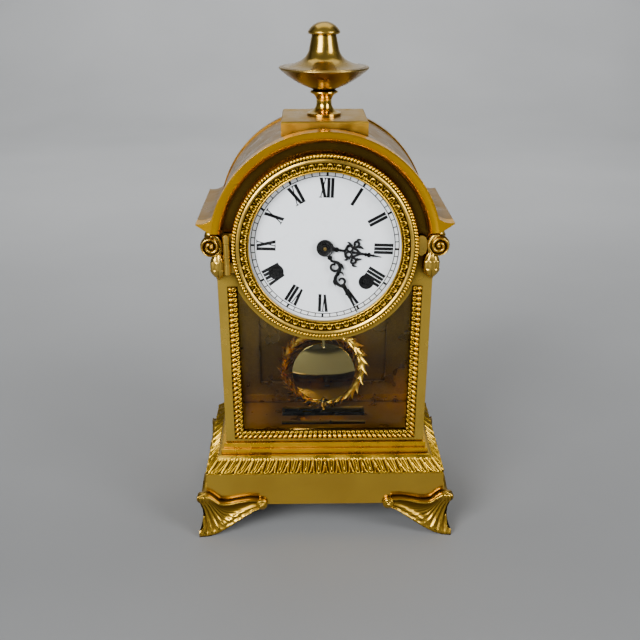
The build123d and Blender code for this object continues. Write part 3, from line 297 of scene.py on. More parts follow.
class Build:
    """Collects the points and faces of one piece from several parts."""

    def __init__(self):
        self.vertices = []
        self.faces = []
        self.relief = {}                   # point number -> 0 in the ground, 1 on the crests

    def grid(self, rows, columns, point, close_rows=False, close_columns=False):
        """A sheet of quads over point(row, column)."""
        start = len(self.vertices)
        for row in range(rows):
            for column in range(columns):
                spot = point(row, column)
                if len(spot) == 4:
                    self.relief[len(self.vertices)] = spot[3]
                self.vertices.append(spot[:3])
        for row in range(rows if close_rows else rows - 1):
            for column in range(columns if close_columns else columns - 1):
                below = start + row * columns
                above = start + (row + 1) % rows * columns
                across = (column + 1) % columns
                self.faces.append((below + column, below + across,
                                   above + across, above + column))
        return start

    def cap(self, start, count):
        self.faces.append(tuple(range(start, start + count)))

    def tube(self, rows, columns, point):
        """A grid closed round its columns, with a cap on each end."""
        start = self.grid(rows, columns, point, close_columns=True)
        self.cap(start, columns)
        self.cap(start + (rows - 1) * columns, columns)

    def turned(self, centre, section, steps):
        """A closed (radius, depth) section turned round a centre."""

        def point(row, column):
            radius, depth = section[column]
            x, z = around(centre, radius, row / steps)
            return (x, depth, z)

        self.grid(steps, len(section), point, close_rows=True, close_columns=True)

    def plate(self, outline, back, front):
        """A flat shape of (x, z) points between two depths, closed all round."""
        self.tube(2, len(outline), lambda row, column: (
            outline[column][0], (back, front)[row], outline[column][1]))

    def ring(self, centre, outer, inner, back, front, steps):
        """A flat ring between two depths."""
        section = ((outer, back), (outer, front), (inner, front), (inner, back))
        self.turned(centre, section, steps)

    def finish(self, name, material, body, smooth=True):
        return add_piece(name, self.vertices, self.faces, material, body, smooth, self.relief)


def around(centre, radius, fraction):
    """(x, z) on a circle, turning clockwise from the top as seen from the front."""
    angle = TURN * fraction
    return centre[0] + radius * math.sin(angle), centre[1] + radius * math.cos(angle)


def lerp(low, high, fraction):
    return low + (high - low) * fraction


def along(points, fraction):
    """The point at a fraction of a smooth line through evenly spaced control points."""
    last = len(points) - 1
    place = min(max(fraction, 0.0), 1.0) * last
    index = min(int(place), last - 1)
    t = place - index
    before = points[max(index - 1, 0)]
    after = points[min(index + 2, last)]
    result = []
    for a, b, c, d in zip(before, points[index], points[index + 1], after):
        result.append(0.5 * (2 * b + (c - a) * t + (2 * a - 5 * b + 4 * c - d) * t * t
                             + (3 * b - a - 3 * c + d) * t ** 3))
    return result


def smooth(value, low, high):
    """0 below low, 1 above high, and an even curve between."""
    share = min(max((value - low) / (high - low), 0.0), 1.0)
    return share * share * (3.0 - 2.0 * share)


def bell(value, width):
    """A smooth bump of height 1 round 0."""
    return math.exp(-(value / width) ** 2)


# ---------------------------------------------------------------- dial and hands

DIAL_FACE = -34.9
TRACK_OUTER, TRACK_INNER = 43.0, 40.7
DIAL_TILT = 2.0                            # the whole print sits this much clockwise
PRINT_DEPTHS = (DIAL_FACE + 0.05, DIAL_FACE - 0.06)
TRACK_LINE, FIVE_MINUTES, ONE_MINUTE = 0.5, 1.25, 0.55        # line widths


def dial_point(clock_angle, radius, sideways):
    angle = math.radians(clock_angle + DIAL_TILT)
    x = radius * math.sin(angle) + sideways * math.cos(angle)
    z = radius * math.cos(angle) - sideways * math.sin(angle)
    return DIAL_X + x, DIAL_Z + z


def stroke(build, clock_angle, start, end, width, end_width=None):
    """A straight stroke from (sideways, radius) to (sideways, radius) on the dial."""
    end_width = width if end_width is None else end_width
    (x0, r0), (x1, r1) = start, end
    corners = ((x0 - width / 2, r0), (x0 + width / 2, r0),
               (x1 + end_width / 2, r1), (x1 - end_width / 2, r1))
    build.plate([dial_point(clock_angle, r, x) for x, r in corners],
                *PRINT_DEPTHS)


NUMERALS = ("XII", "I", "II", "III", "IIII", "V", "VI", "VII", "VIII", "IX", "X", "XI")
LETTER_WIDTH = {"I": 2.2, "V": 3.8, "X": 4.0}
THICK, THIN, SERIF, SERIF_WIDE = 1.85, 0.62, 0.50, 1.90
LETTER_GAP = 0.75                          # from a letter's edge to its outer stroke
HEAD_R, FOOT_R = 39.4, 28.8


def numeral(build, clock_angle, text):
    """One Roman numeral with its feet to the centre."""
    width = sum(LETTER_WIDTH[letter] for letter in text)
    left = -width / 2
    for letter in text:
        room = LETTER_WIDTH[letter]
        middle = left + room / 2
        reach = room / 2 - LETTER_GAP
        if letter == "I":
            stroke(build, clock_angle, (middle, FOOT_R), (middle, HEAD_R), THICK)
            serifs(build, clock_angle, (middle,), (FOOT_R, HEAD_R))
        elif letter == "V":
            stroke(build, clock_angle, (middle + 0.2, FOOT_R), (middle - reach, HEAD_R),
                   THICK * 0.8, THICK)
            stroke(build, clock_angle, (middle + 0.2, FOOT_R), (middle + reach, HEAD_R), THIN)
            serifs(build, clock_angle, (middle - reach, middle + reach), (HEAD_R,))
        else:
            stroke(build, clock_angle, (middle + reach, FOOT_R), (middle - reach, HEAD_R), THICK)
            stroke(build, clock_angle, (middle - reach, FOOT_R), (middle + reach, HEAD_R), THIN)
            serifs(build, clock_angle, (middle - reach, middle + reach), (FOOT_R, HEAD_R))
        left += room


def serifs(build, clock_angle, places, radii):
    for place in places:
        for radius in radii:
            stroke(build, clock_angle, (place, radius - SERIF / 2), (place, radius + SERIF / 2),
                   SERIF_WIDE)


def make_dial_print():
    """The minute track and the hours, printed in black."""
    build = Build()
    centre = (DIAL_X, DIAL_Z)
    for radius in (TRACK_OUTER, TRACK_INNER):
        build.ring(centre, radius + TRACK_LINE / 2, radius - TRACK_LINE / 2, *PRINT_DEPTHS, 180)
    for minute in range(60):
        width = FIVE_MINUTES if minute % 5 == 0 else ONE_MINUTE
        stroke(build, 6.0 * minute, (0.0, TRACK_INNER), (0.0, TRACK_OUTER), width)
    for hour, text in enumerate(NUMERALS):
        numeral(build, 30.0 * hour, text)
    build.finish("dial_printed_chapters", PRINT, "case", smooth=False)


def make_winding_hole_shade():
    """Near-black rings that fill the two winding holes as painted shade, with the squares seen
    inside.
    """
    build = Build()
    for name in ("going_winding_arbor", "strike_winding_arbor"):
        low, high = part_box(name)
        centre = ((low.x + high.x) / 2 / MM, (low.z + high.z) / 2 / MM)
        section = ((4.5, DIAL_FACE + 0.1), (4.5, -35.2), (4.2, -35.45), (3.6, -35.4),
                   (3.05, -35.0), (1.9, -34.6), (1.9, -33.0), (3.6, -33.0), (3.6, DIAL_FACE + 0.1))
        build.turned(centre, section, 48)
    build.finish("winding_hole_shade_rings", PRINT, "case")


class HandShape:
    """Flat shapes laid out along a hand: u out from the centre, w to its left."""

    def __init__(self, angle, back, front):
        self.build = Build()
        self.along = Vector((math.cos(math.radians(angle)), math.sin(math.radians(angle))))
        self.back, self.front = back, front

    def place(self, u, w):
        x = DIAL_X + self.along.x * u - self.along.y * w
        z = DIAL_Z + self.along.y * u + self.along.x * w
        return x, z

    def ribbon(self, points, widths, steps=28):
        """A tapering bar along a smooth line, thicker in its middle like a stamped hand."""
        sides = []
        for step in range(steps + 1):
            t = step / steps
            u, w = along(points, t)
            ahead = along(points, min(t + 0.01, 1.0))
            behind = along(points, max(t - 0.01, 0.0))
            course = Vector((ahead[0] - behind[0], ahead[1] - behind[1])).normalized()
            half = along([(width * HAND_BOLD,) for width in widths], t)[0] / 2
            sides.append((u, w, -course.y * half, course.x * half))
        middle = (self.back + self.front) / 2
        section = ((1.0, middle), (0.7, self.front), (-0.7, self.front), (-1.0, middle),
                   (-0.7, self.back), (0.7, self.back))

        def point(row, column):
            u, w, du, dw = sides[row]
            share, depth = section[column]
            x, z = self.place(u + du * share, w + dw * share)
            return (x, depth, z)

        self.build.tube(steps + 1, len(section), point)

    def loop(self, u, w, radius, width, squash, steps=32):
        """A pierced ring, or an oval one where squash isn't 1."""
        angles = [TURN * step / steps for step in range(steps + 1)]
        points = [(u + radius * math.cos(angle), w + radius * squash * math.sin(angle))
                  for angle in angles]
        self.ribbon(points, (width, width), steps * 2)

    def bead(self, u, w, radius, squash=1.0, steps=20):
        """A small solid disc on the bar."""
        angles = [TURN * step / steps for step in range(steps)]
        self.build.plate([self.place(u + radius * math.cos(angle),
                                     w + radius * squash * math.sin(angle))
                          for angle in angles], self.back, self.front)

    def scroll(self, u, w, radius, turns, start, width, hand):
        """A C-scroll that winds in to a ball."""
        points = []
        for step in range(25):
            t = step / 24
            angle = math.radians(start) + hand * TURN * turns * t
            now = radius * (1.0 - 0.55 * t)
            points.append((u + now * math.cos(angle), w + now * math.sin(angle)))
        self.ribbon(points, (width * 0.9, width, width * 0.8), 40)
        self.bead(points[-1][0], points[-1][1], width * 0.72)

    def leaf(self, points, width):
        """A thorn of leaf that runs out to a point."""
        self.ribbon(points, (0.25, width, width * 0.75, 0.12), 20)


HAND_BOLD = 1.6                            # how much wider than its drawn line each bar is
HOUR_DEPTHS, MINUTE_DEPTHS = (-35.8, -36.2), (-36.8, -37.3)


def make_hand_hub():
    """The turned collar that holds the minute hand, round its nut."""
    build = Build()
    front = MINUTE_DEPTHS[1]
    section = ((5.0, front + 0.4), (5.0, front - 0.05), (4.5, front - 0.45), (3.8, front - 0.15),
               (3.4, front - 0.10), (3.0, front - 0.50), (2.4, front - 0.30), (2.2, front + 0.4))
    build.turned((DIAL_X, DIAL_Z), section, 64)
    build.finish("minute_hand_collar", BLACK, "centre_arbor", smooth=False)


def make_hour_hand():
    """A stem with beads, a pierced knot of scrolls with thorns, and a beaded point."""
    hand = HandShape(-10.0, *HOUR_DEPTHS)
    hand.build.ring((DIAL_X, DIAL_Z), 4.6, 1.9, *HOUR_DEPTHS, 64)
    hand.ribbon(((4.2, 0.0), (7.0, 0.0), (11.6, 0.0)), (2.4, 1.0, 1.0))
    hand.bead(6.9, 0.0, 1.35, 1.15)
    hand.bead(9.2, 0.0, 0.85)
    hand.bead(11.6, 0.0, 1.0)
    for side in (1.0, -1.0):
        hand.loop(14.2, 1.75 * side, 1.65, 0.75, 0.95)
        hand.ribbon(((11.8, 0.3 * side), (13.0, 3.2 * side), (15.6, 3.9 * side)), (0.7, 1.1, 0.9))
        hand.scroll(17.4, 5.2 * side, 2.15, 0.95, -130.0 * side, 0.95, side)
        hand.leaf(((18.6, 3.4 * side), (20.3, 3.7 * side), (22.4, 2.9 * side)), 1.1)
        hand.leaf(((17.2, 7.2 * side), (18.4, 7.9 * side), (20.4, 8.0 * side)), 0.9)
        hand.leaf(((14.4, 3.6 * side), (13.4, 5.0 * side), (12.0, 5.4 * side)), 0.9)
        hand.ribbon(((16.0, 2.5 * side), (18.2, 1.8 * side), (21.0, 0.3 * side)), (0.6, 0.9, 0.6))
    hand.ribbon(((15.8, 0.0), (20.0, 0.0), (26.0, 0.0), (33.2, 0.0)), (0.9, 1.0, 0.9, 0.36))
    for place, size in ((24.0, 1.05), (25.9, 1.45), (28.4, 0.85)):
        hand.bead(place, 0.0, size * 0.75, 1.35)
    piece = hand.build.finish("hour_hand_pierced", BLACK, "hour_hand", smooth=False)
    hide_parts("hour_hand")


def make_minute_hand():
    """A stem that winds through two scrolls, one to each side, to a beaded point."""
    hand = HandShape(-64.0, *MINUTE_DEPTHS)
    hand.build.ring((DIAL_X, DIAL_Z), 3.9, 1.4, *MINUTE_DEPTHS, 64)
    hand.ribbon(((3.6, 0.0), (6.2, 0.0), (9.0, 0.2)), (2.0, 1.0, 1.1))
    hand.bead(6.4, 0.0, 1.3, 1.1)
    hand.bead(8.2, 0.1, 0.8)
    hand.ribbon(((8.8, 0.2), (11.4, 3.0), (14.8, 2.5), (17.6, -0.4)), (0.9, 1.3, 1.3, 1.2))
    hand.scroll(12.3, 0.0, 3.1, 0.75, 60.0, 1.0, -1.0)
    hand.leaf(((11.4, 2.6), (13.6, 4.3), (16.6, 4.1)), 1.0)
    hand.bead(17.2, -0.2, 1.15)
    hand.ribbon(((16.8, 0.4), (19.0, -2.6), (22.6, -2.9), (26.6, 0.0)), (1.1, 1.3, 1.2, 0.9))
    hand.scroll(22.0, -0.1, 2.8, 0.75, -60.0, 0.95, 1.0)
    hand.leaf(((18.6, -2.2), (20.6, -4.2), (23.6, -4.3)), 0.9)
    hand.leaf(((16.6, 0.6), (17.6, 2.5), (19.8, 2.6)), 0.8)
    hand.ribbon(((24.4, 0.4), (28.0, 0.0), (34.0, 0.0), (43.6, 0.0)), (1.0, 1.5, 0.9, 0.40))
    hand.bead(27.0, 0.0, 1.15, 1.1)
    hand.bead(30.6, 0.0, 0.95, 1.7)
    hand.bead(33.0, 0.0, 0.7, 1.4)
    piece = hand.build.finish("minute_hand_pierced", BLACK, "centre_arbor", smooth=False)
    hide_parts("minute_hand")


# ---------------------------------------------------------------- bezel ornament

ROPE_R, ROPE_Y, ROPE_THICK = 52.6, -41.1, 1.4
ROPE_TWISTS = 176


def make_rope_ring():
    """The twisted rope round the bezel's edge."""
    build = Build()
    steps, sides = ROPE_TWISTS * 8, 12

    def point(row, column):
        turn, side = row / steps, TURN * column / sides
        strand = 0.5 + 0.5 * math.cos(TURN * ROPE_TWISTS * turn + side)
        thick = ROPE_THICK * (0.58 + 0.42 * strand ** 0.7)
        x, z = around((DIAL_X, DIAL_Z), ROPE_R + thick * math.cos(side), turn)
        return (x, ROPE_Y - thick * math.sin(side), z, strand ** 0.8)

    build.grid(steps, sides, point, close_rows=True, close_columns=True)
    piece = build.finish("bezel_twisted_rope", GILT, "bezel")
    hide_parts("bezel_rope_ring")


EGGS, EGG_PROUD = 58, 1.3
EGG_OUTER, EGG_INNER, LIP_INNER = 49.2, 44.6, 43.8


def egg_height(place, inward):
    """Height of one leaf-and-bud motif; place runs -0.5 to 0.5 and inward 0 to 1."""
    side = abs(place) * 2.0
    bud = bell(math.hypot(side * 1.9, (inward - 0.24) * 3.6), 0.62)
    stem = bell(side, 0.10) * bell(inward - 0.70, 0.22) * 0.8
    arch = bell(math.hypot(side * 0.75, (inward - 0.50) * 1.1) - 0.40, 0.075) * 0.75
    curl = bell(math.hypot((side - 0.72) * 1.5, (inward - 0.76) * 3.0), 0.40) * 0.9
    dart = bell(side - 1.0, 0.12) * bell(inward - 0.26, 0.20) * 0.6
    return min(max(bud, stem, arch, curl, dart), 1.0)


def make_egg_ring():
    """The band of small leaves and buds that slopes in to the dial."""
    build = Build()
    steps, across = EGGS * 16, 17
    lip = ((EGG_INNER - 0.1, -40.75), (LIP_INNER + 0.3, -40.95), (LIP_INNER, -40.7),
           (LIP_INNER, -40.3), (45.0, -40.0))
    section = ((EGG_OUTER + 0.1, -40.0), (EGG_OUTER + 0.1, -41.2))

    def point(row, column):
        turn, raised = row / steps, 1.0
        if column < 2:
            radius, depth = section[column]
        elif column < across + 2:
            inward = (column - 2) / (across - 1)
            place = (turn * EGGS) % 1.0 - 0.5
            radius = lerp(EGG_OUTER, EGG_INNER + 0.1, inward)
            fade = min(1.0, 8.0 * inward, 8.0 * (1.0 - inward))
            raised = egg_height(place, inward) * fade
            depth = lerp(-40.75, -40.35, inward) - raised * EGG_PROUD
        else:
            radius, depth = lip[column - across - 2]
        x, z = around((DIAL_X, DIAL_Z), radius, turn)
        return (x, depth, z, raised ** 1.5)

    build.grid(steps, across + 2 + len(lip), point, close_rows=True, close_columns=True)
    piece = build.finish("bezel_leaf_and_bud_band", GILT, "bezel")
    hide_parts("bezel_egg_dart_ring")


# ---------------------------------------------------------------- strips of relief

BORDER_X, BORDER_LOW, BORDER_HIGH = 57.7, 62.8, 165.0
BORDER_WIDE, BORDER_BACK, BORDER_PROUD = 6.2, -36.1, 1.6
BEAD_PITCH, PEARL_R = 3.3, 1.5


def bead_height(place, inward):
    """Pearls along the outer edge and small open leaves inside them."""
    to_pearl = math.hypot(place * BEAD_PITCH, (inward - 0.27) * BORDER_WIDE)
    to_leaf = math.hypot(place * BEAD_PITCH, (inward - 0.69) * BORDER_WIDE)
    pearl = max(0.0, 1.0 - (to_pearl / PEARL_R) ** 2) ** 0.5
    ring = bell(to_leaf - 0.95, 0.32)
    seed = bell(to_leaf, 0.36) * 0.55
    return max(pearl, ring * 0.9, seed)


def border_run(build, start, end, inward_way, start_mitre, end_mitre):
    """One straight run of the border, from corner to corner, mitred at its ends."""
    start, end, inward_way = Vector(start), Vector(end), Vector(inward_way)
    length = (end - start).length
    course = (end - start) / length
    count = max(1, round(length / BEAD_PITCH))
    steps, across = count * 14, 17

    def point(row, column):
        share = row / steps
        if column in (0, across + 1):
            inward, depth, raised = (0.0 if column == 0 else 1.0), BORDER_BACK + 0.05, 0.0
        else:
            inward = (column - 1) / (across - 1)
            place = (share * count) % 1.0 - 0.5
            raised = bead_height(place, inward)
            depth = BORDER_BACK - 0.08 - raised * (BORDER_PROUD - 0.1)
        room = inward * BORDER_WIDE
        distance = lerp(room * start_mitre, length - room * end_mitre, share)
        spot = start + course * distance + inward_way * room
        return (spot.x, depth, spot.y, raised)

    build.tube(steps + 1, across + 2, point)


def make_bead_border():
    """The border down both sides of the window and along its foot."""
    build = Build()
    x, low, high = BORDER_X, BORDER_LOW, BORDER_HIGH
    border_run(build, (-x, low), (x, low), (0, 1), 1, 1)
    border_run(build, (-x, low), (-x, high), (1, 0), 1, 0)
    border_run(build, (x, low), (x, high), (-1, 0), 1, 0)
    piece = build.finish("window_bead_border", GILT, "case")
    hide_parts("front_bead_border")


# Section of the base's moulding: outward reach beyond the waist, and height.
MOULD_SECTION = ((7.6, 43.7), (7.6, 44.9), (6.9, 45.6), (5.0, 47.1), (3.0, 48.9), (1.5, 50.4),
                 (0.5, 51.8), (0.0, 53.1))
WAIST_X, WAIST_Y = 68.6, 41.5
LEAF_PITCH, LEAF_TOP, LEAF_RISE = 8.0, 0.82, 0.806
UNDER_RAIL = 3.0                           # how far the moulding runs in under the rail


def leaf_height(place, up):
    """Relief of one acanthus leaf; place -0.5 to 0.5 across it, up 0 to 1."""
    side = abs(place) * 2.0
    crown = smooth(up, 0.30, 0.55)
    vein = bell(side, 0.12) * crown
    flank = bell(side - (0.16 + 0.30 * up), 0.12) * (1.0 - 0.5 * crown)
    edge = bell(side - (1.0 - 0.50 * (1.0 - up) ** 1.4), 0.13)
    eye = bell(math.hypot((side - 0.62) * 1.2, (up - 0.16) * 1.9), 0.17)
    heel = bell(math.hypot(side * 1.2, (up - 0.08) * 1.8), 0.20)
    return max(vein * 0.9, flank * 0.8, edge, eye * 0.9, heel)


def make_acanthus_moulding():
    """The cast leaf band round the base, mitred at its corners."""
    build = Build()
    levels = 30
    for along_x, sign in ((True, -1), (True, 1), (False, -1), (False, 1)):
        half = WAIST_X if along_x else WAIST_Y
        count = round(2 * (half + 4.0) / LEAF_PITCH)
        steps = count * 34

        def point(row, column, along_x=along_x, sign=sign, count=count, steps=steps):
            share = row / steps
            raised = 1.0
            if column >= levels:
                reach = -UNDER_RAIL
                height = MOULD_SECTION[-1 if column == levels else 0][1]
            else:
                up = column / (levels - 1)
                reach, height = along(MOULD_SECTION, up)
                fade = min(1.0, 9.0 * up, 9.0 * max(0.0, LEAF_TOP - up))
                leaf = leaf_height((share * count) % 1.0 - 0.5, min(up / LEAF_TOP, 1.0))
                raised = lerp(0.8, 0.08 + 0.92 * leaf ** 1.4, fade)
                rise = (leaf - 0.5) * LEAF_RISE * fade
                reach, height = reach + rise, height + rise
            if along_x:
                side = lerp(-(WAIST_X + reach), WAIST_X + reach, share)
                return (side, sign * (WAIST_Y + reach), height, raised)
            side = lerp(-(WAIST_Y + reach), WAIST_Y + reach, share)
            return (sign * (WAIST_X + reach), side, height, raised)

        build.tube(steps + 1, levels + 2, point)
    piece = build.finish("base_acanthus_band", ACANTHUS, "case")
    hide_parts("base_acanthus_moulding")


# ---------------------------------------------------------------- capitals

CAPITAL_X, CAPITAL_Z, CAPITAL_R = 65.5, 190.5, 6.0
CAPITAL_FRONT, CAPITAL_BACK = -43.0, -36.2
DROP_X, DROP_Y, DROP_TOP, DROP_LOW = 61.8, -39.3, 186.3, 170.6


def volute(build, sign):
    """A scroll that faces forward, its band winding in to a button."""
    steps, rings = 120, 44
    pitch = 2.75

    def point(row, column):
        angle = TURN * row / steps
        if column == rings:
            radius, depth, raised = CAPITAL_R * 0.94, CAPITAL_BACK, 0.5
        else:
            share = column / (rings - 1)
            radius = max(0.02, CAPITAL_R * min(1.0, share * 1.05))
            phase = (radius / pitch + angle / TURN + 0.55) % 1.0
            band = math.sin(math.pi * min(phase / 0.80, 1.0)) ** 0.6 if phase < 0.80 else 0.0
            button = bell(radius, 0.95)
            raised = max(band, button)
            outside = smooth(radius, CAPITAL_R - 0.5, CAPITAL_R)
            depth = CAPITAL_FRONT + 2.6 - max(band * 2.0, button * 2.3) * (1.0 - outside)
            depth -= 0.3 * (1.0 - radius / CAPITAL_R)
        x = radius * math.cos(angle) * sign
        return (sign * CAPITAL_X + x, depth, CAPITAL_Z + radius * math.sin(angle), raised)

    build.grid(steps, rings + 1, point, close_rows=True)


def neck(build, sign):
    """The band that leaves the scroll and runs back under the eave."""
    line = ((CAPITAL_X - 0.5, CAPITAL_Z + 5.0), (CAPITAL_X - 3.2, CAPITAL_Z + 4.8),
            (CAPITAL_X - 5.4, CAPITAL_Z + 1.6), (CAPITAL_X - 5.2, CAPITAL_Z - 3.0),
            (CAPITAL_X - 3.6, CAPITAL_Z - 6.4))
    section = ((-1.5, 0.0), (-1.0, -1.5), (0.0, -0.9), (1.0, -1.5), (1.5, 0.0), (1.0, 3.0),
               (-1.0, 3.0))
    steps = 24

    def point(row, column):
        t = row / steps
        x, z = along(line, t)
        ahead, behind = along(line, min(t + 0.02, 1.0)), along(line, max(t - 0.02, 0.0))
        course = Vector((ahead[0] - behind[0], ahead[1] - behind[1])).normalized()
        width, depth = section[column]
        fade = 1.0 - 0.35 * t
        return (sign * (x - course.y * width * fade),
                CAPITAL_FRONT + 3.2 + depth + 1.2 * t, z + course.x * width * fade)

    build.tube(steps + 1, len(section), point)


def bud(build, sign):
    """A bud of overlapping leaves hanging under the scroll."""
    rows, columns = 44, 56

    def point(row, column):
        t = row / (rows - 1)
        angle = TURN * column / columns
        outline = along(((1.6,), (3.2,), (4.3,), (4.6,), (4.7,), (4.2,), (2.9,), (0.6,)), t)[0]
        tier = (t * 3.2) % 1.0
        shift = math.pi * (int(t * 3.2) % 2) / 2
        leaf = abs(math.cos(3.0 * angle + shift)) * (1.0 - 0.6 * tier)
        radius = max(outline + 0.75 * leaf - 0.35, 0.25)
        return (sign * (DROP_X + radius * 1.02 * math.cos(angle)),
                DROP_Y + radius * 0.66 * math.sin(angle), lerp(DROP_TOP, DROP_LOW, t),
                0.25 + 0.75 * leaf)

    build.tube(rows, columns, point)


def backing(build, sign):
    """The plain stock behind the scroll that is fixed to the wall and shoulder."""
    low, high = CAPITAL_Z - 4.5, CAPITAL_Z + 8.5
    inner, outer = 63.4, CAPITAL_X + 3.2
    corners = ((inner, low), (outer, low), (outer + 0.6, high - 3), (outer - 1.0, high),
               (inner, high))
    build.plate([(sign * x, z) for x, z in corners], -30.0, CAPITAL_BACK)


def make_capitals():
    """The scroll capitals on the case's two front corners."""
    build = Build()
    for sign in (-1, 1):
        volute(build, sign)
        neck(build, sign)
        bud(build, sign)
        backing(build, sign)
    piece = build.finish("scroll_capitals", CAPITAL, "case")
    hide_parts("corner_capitals")


# ---------------------------------------------------------------- feet

TIP_X, TIP_Y = 82.6, 55.6                  # the foot's outward corner
FOOT_TOP = ((0.0, 31.0), (3.5, 30.6), (8.0, 30.6), (11.0, 28.4), (14.5, 25.2), (20.0, 24.6),
            (27.0, 26.0), (34.0, 27.0), (39.6, 26.6))
FOOT_LOW = ((0.0, 0.0), (4.0, 0.0), (8.0, 0.4), (12.0, 1.9), (16.0, 4.2), (21.0, 7.6),
            (26.0, 11.2), (31.0, 14.8), (36.0, 18.2), (39.6, 19.6))
SCROLL_AT, SCROLL_Z, SCROLL_R = 41.2, 22.4, 4.0
FOOT_WALL = 6.4                            # how far inside the tip the base's own side stands
BASE_BOTTOM = 21.2


def foot_inset(run, down):
    """How far the foot's face stands inside its tip; run 0 to 1 from the corner, down 0 to 1."""
    top = 2.4 + 0.9 * run
    waist = 4.3 + 0.4 * run
    rim = 0.15 + 2.9 * run
    if down < 0.45:
        return along(((top - 1.3,), (top,), (waist - 0.4,), (waist,)), down / 0.45)[0]
    return along(((waist,), (waist - 0.3,), (waist - 1.2,), (rim + 1.0,), (rim,)),
                 (down - 0.45) / 0.55)[0]


def foot_relief(run, down):
    """Leaf ribs that fan out from the ear, the knot round it, and the raised lower rim."""
    fan = run / (0.22 + 0.50 * down)
    ribs = (0.5 + 0.5 * math.cos(TURN * 5.4 * fan)) ** 1.5
    reach = min(max(1.6 - fan, 0.0), 1.0) * min(1.0, down * 3.5) * (1.0 - bell(down - 1.0, 0.10))
    knot = bell(math.hypot((run - 0.11) / 0.14, (down - 0.10) / 0.13), 1.0)
    petals = 0.55 + 0.45 * math.cos(run * 92.0 + down * 22.0)
    rim = bell(down - 0.955, 0.050)
    nicks = 0.75 + 0.25 * math.cos(run * 120.0)
    upper = bell(down - 0.045, 0.05) * min(1.0, run * 3.0)
    tendril = bell(down - (0.78 - 0.55 * (run - 0.55)), 0.07) * bell(run - 0.62, 0.2)
    return (1.10 * ribs * reach + 1.7 * knot * petals + 0.7 * rim * nicks + 0.8 * upper
            + 0.7 * tendril)


def foot_place(corner, reach, inset, height):
    """A point at its distances along an arm and in from its face; corner says which arm."""
    sign_x, sign_y, along_x = corner
    if along_x:
        return (sign_x * (TIP_X - reach), sign_y * (TIP_Y - inset), height)
    return (sign_x * (TIP_X - inset), sign_y * (TIP_Y - reach), height)


def foot_arm(build, corner):
    """One arm of a foot, from the corner to its scroll, closed at the back."""
    runs, downs = 72, 34
    total = downs + 2

    def point(row, column):
        run = row / runs
        top, low = along(FOOT_TOP, run), along(FOOT_LOW, run)
        down = min(max((column - 1) / (downs - 1), 0.0), 1.0)
        reach, height = lerp(top[0], low[0], down), lerp(top[1], low[1], down)
        carved = foot_relief(run, down)
        inset = max(foot_inset(run, down) - carved, 0.02)
        if column in (0, total - 1):
            inset = FOOT_WALL + (0.3 if height < BASE_BOTTOM else 0.0)
        reach = max(lerp(inset, reach, 1.0 - (1.0 - run) ** 6), inset)
        return (*foot_place(corner, reach, inset, max(height, 0.0)), 0.22 + 0.6 * carved)

    start = build.grid(runs + 1, total, point, close_columns=True)
    build.cap(start + runs * total, total)


def foot_scroll(build, corner):
    """The round scroll that ends an arm, with a button in its middle."""
    steps, rings = 48, 16

    def point(row, column):
        angle = TURN * row / steps
        share = column / (rings - 1)
        radius = SCROLL_R * min(1.0, share * 1.08 + 0.005)
        phase = (radius / 2.6 + angle / TURN) % 1.0
        height = 0.9 * math.sin(math.pi * phase) ** 0.6 + 1.5 * bell(radius, 1.5)
        inset = 3.7 - height + 2.4 * share ** 6
        if column == rings:
            radius, inset = SCROLL_R * 0.95, FOOT_WALL
        reach = SCROLL_AT + radius * math.cos(angle)
        level = SCROLL_Z + radius * math.sin(angle)
        return foot_place(corner, reach, inset, level)

    build.grid(steps, rings + 1, point, close_rows=True)


def make_feet():
    """Four cast feet, each with an arm along the front or back and one along the side."""
    for depth, sign_y in (("front", -1), ("rear", 1)):
        for side, sign_x in (("left", -1), ("right", 1)):
            build = Build()
            for along_x in (True, False):
                foot_arm(build, (sign_x, sign_y, along_x))
                foot_scroll(build, (sign_x, sign_y, along_x))
            piece = build.finish(f"leaf_foot_{depth}_{side}", FOOT, "case")
            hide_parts(f"foot_{depth}_{side}")


# ---------------------------------------------------------------- wreath and panes

WREATH_Y, WREATH_Z, WREATH_R, CORE_R = 22.0, 86.9, 25.6, 2.4
STATIONS, LEAVES_ROUND = 26, 7


def laurel_leaf(build, centre, course, outward, length, width, lift):
    """A pointed leaf with a raised vein, lying along course and lifted outward at its tip."""
    across = course.cross(outward).normalized()
    rows = 6
    start = len(build.vertices)
    for row in range(rows + 1):
        t = row / rows
        half = width * math.sin(math.pi * min(t * 0.92 + 0.08, 1.0)) ** 0.8 / 2
        spine = centre + course * (length * (t - 0.5)) + outward * (lift * t * t)
        for side, sink in ((-1.0, 0.75), (0.0, 0.0), (1.0, 0.75)):
            spot = spine + across * (half * side) - outward * (sink * half)
            build.vertices.append(tuple(spot))
    for row in range(rows):
        for column in range(2):
            a = start + row * 3 + column
            build.faces.append((a, a + 1, a + 4, a + 3))


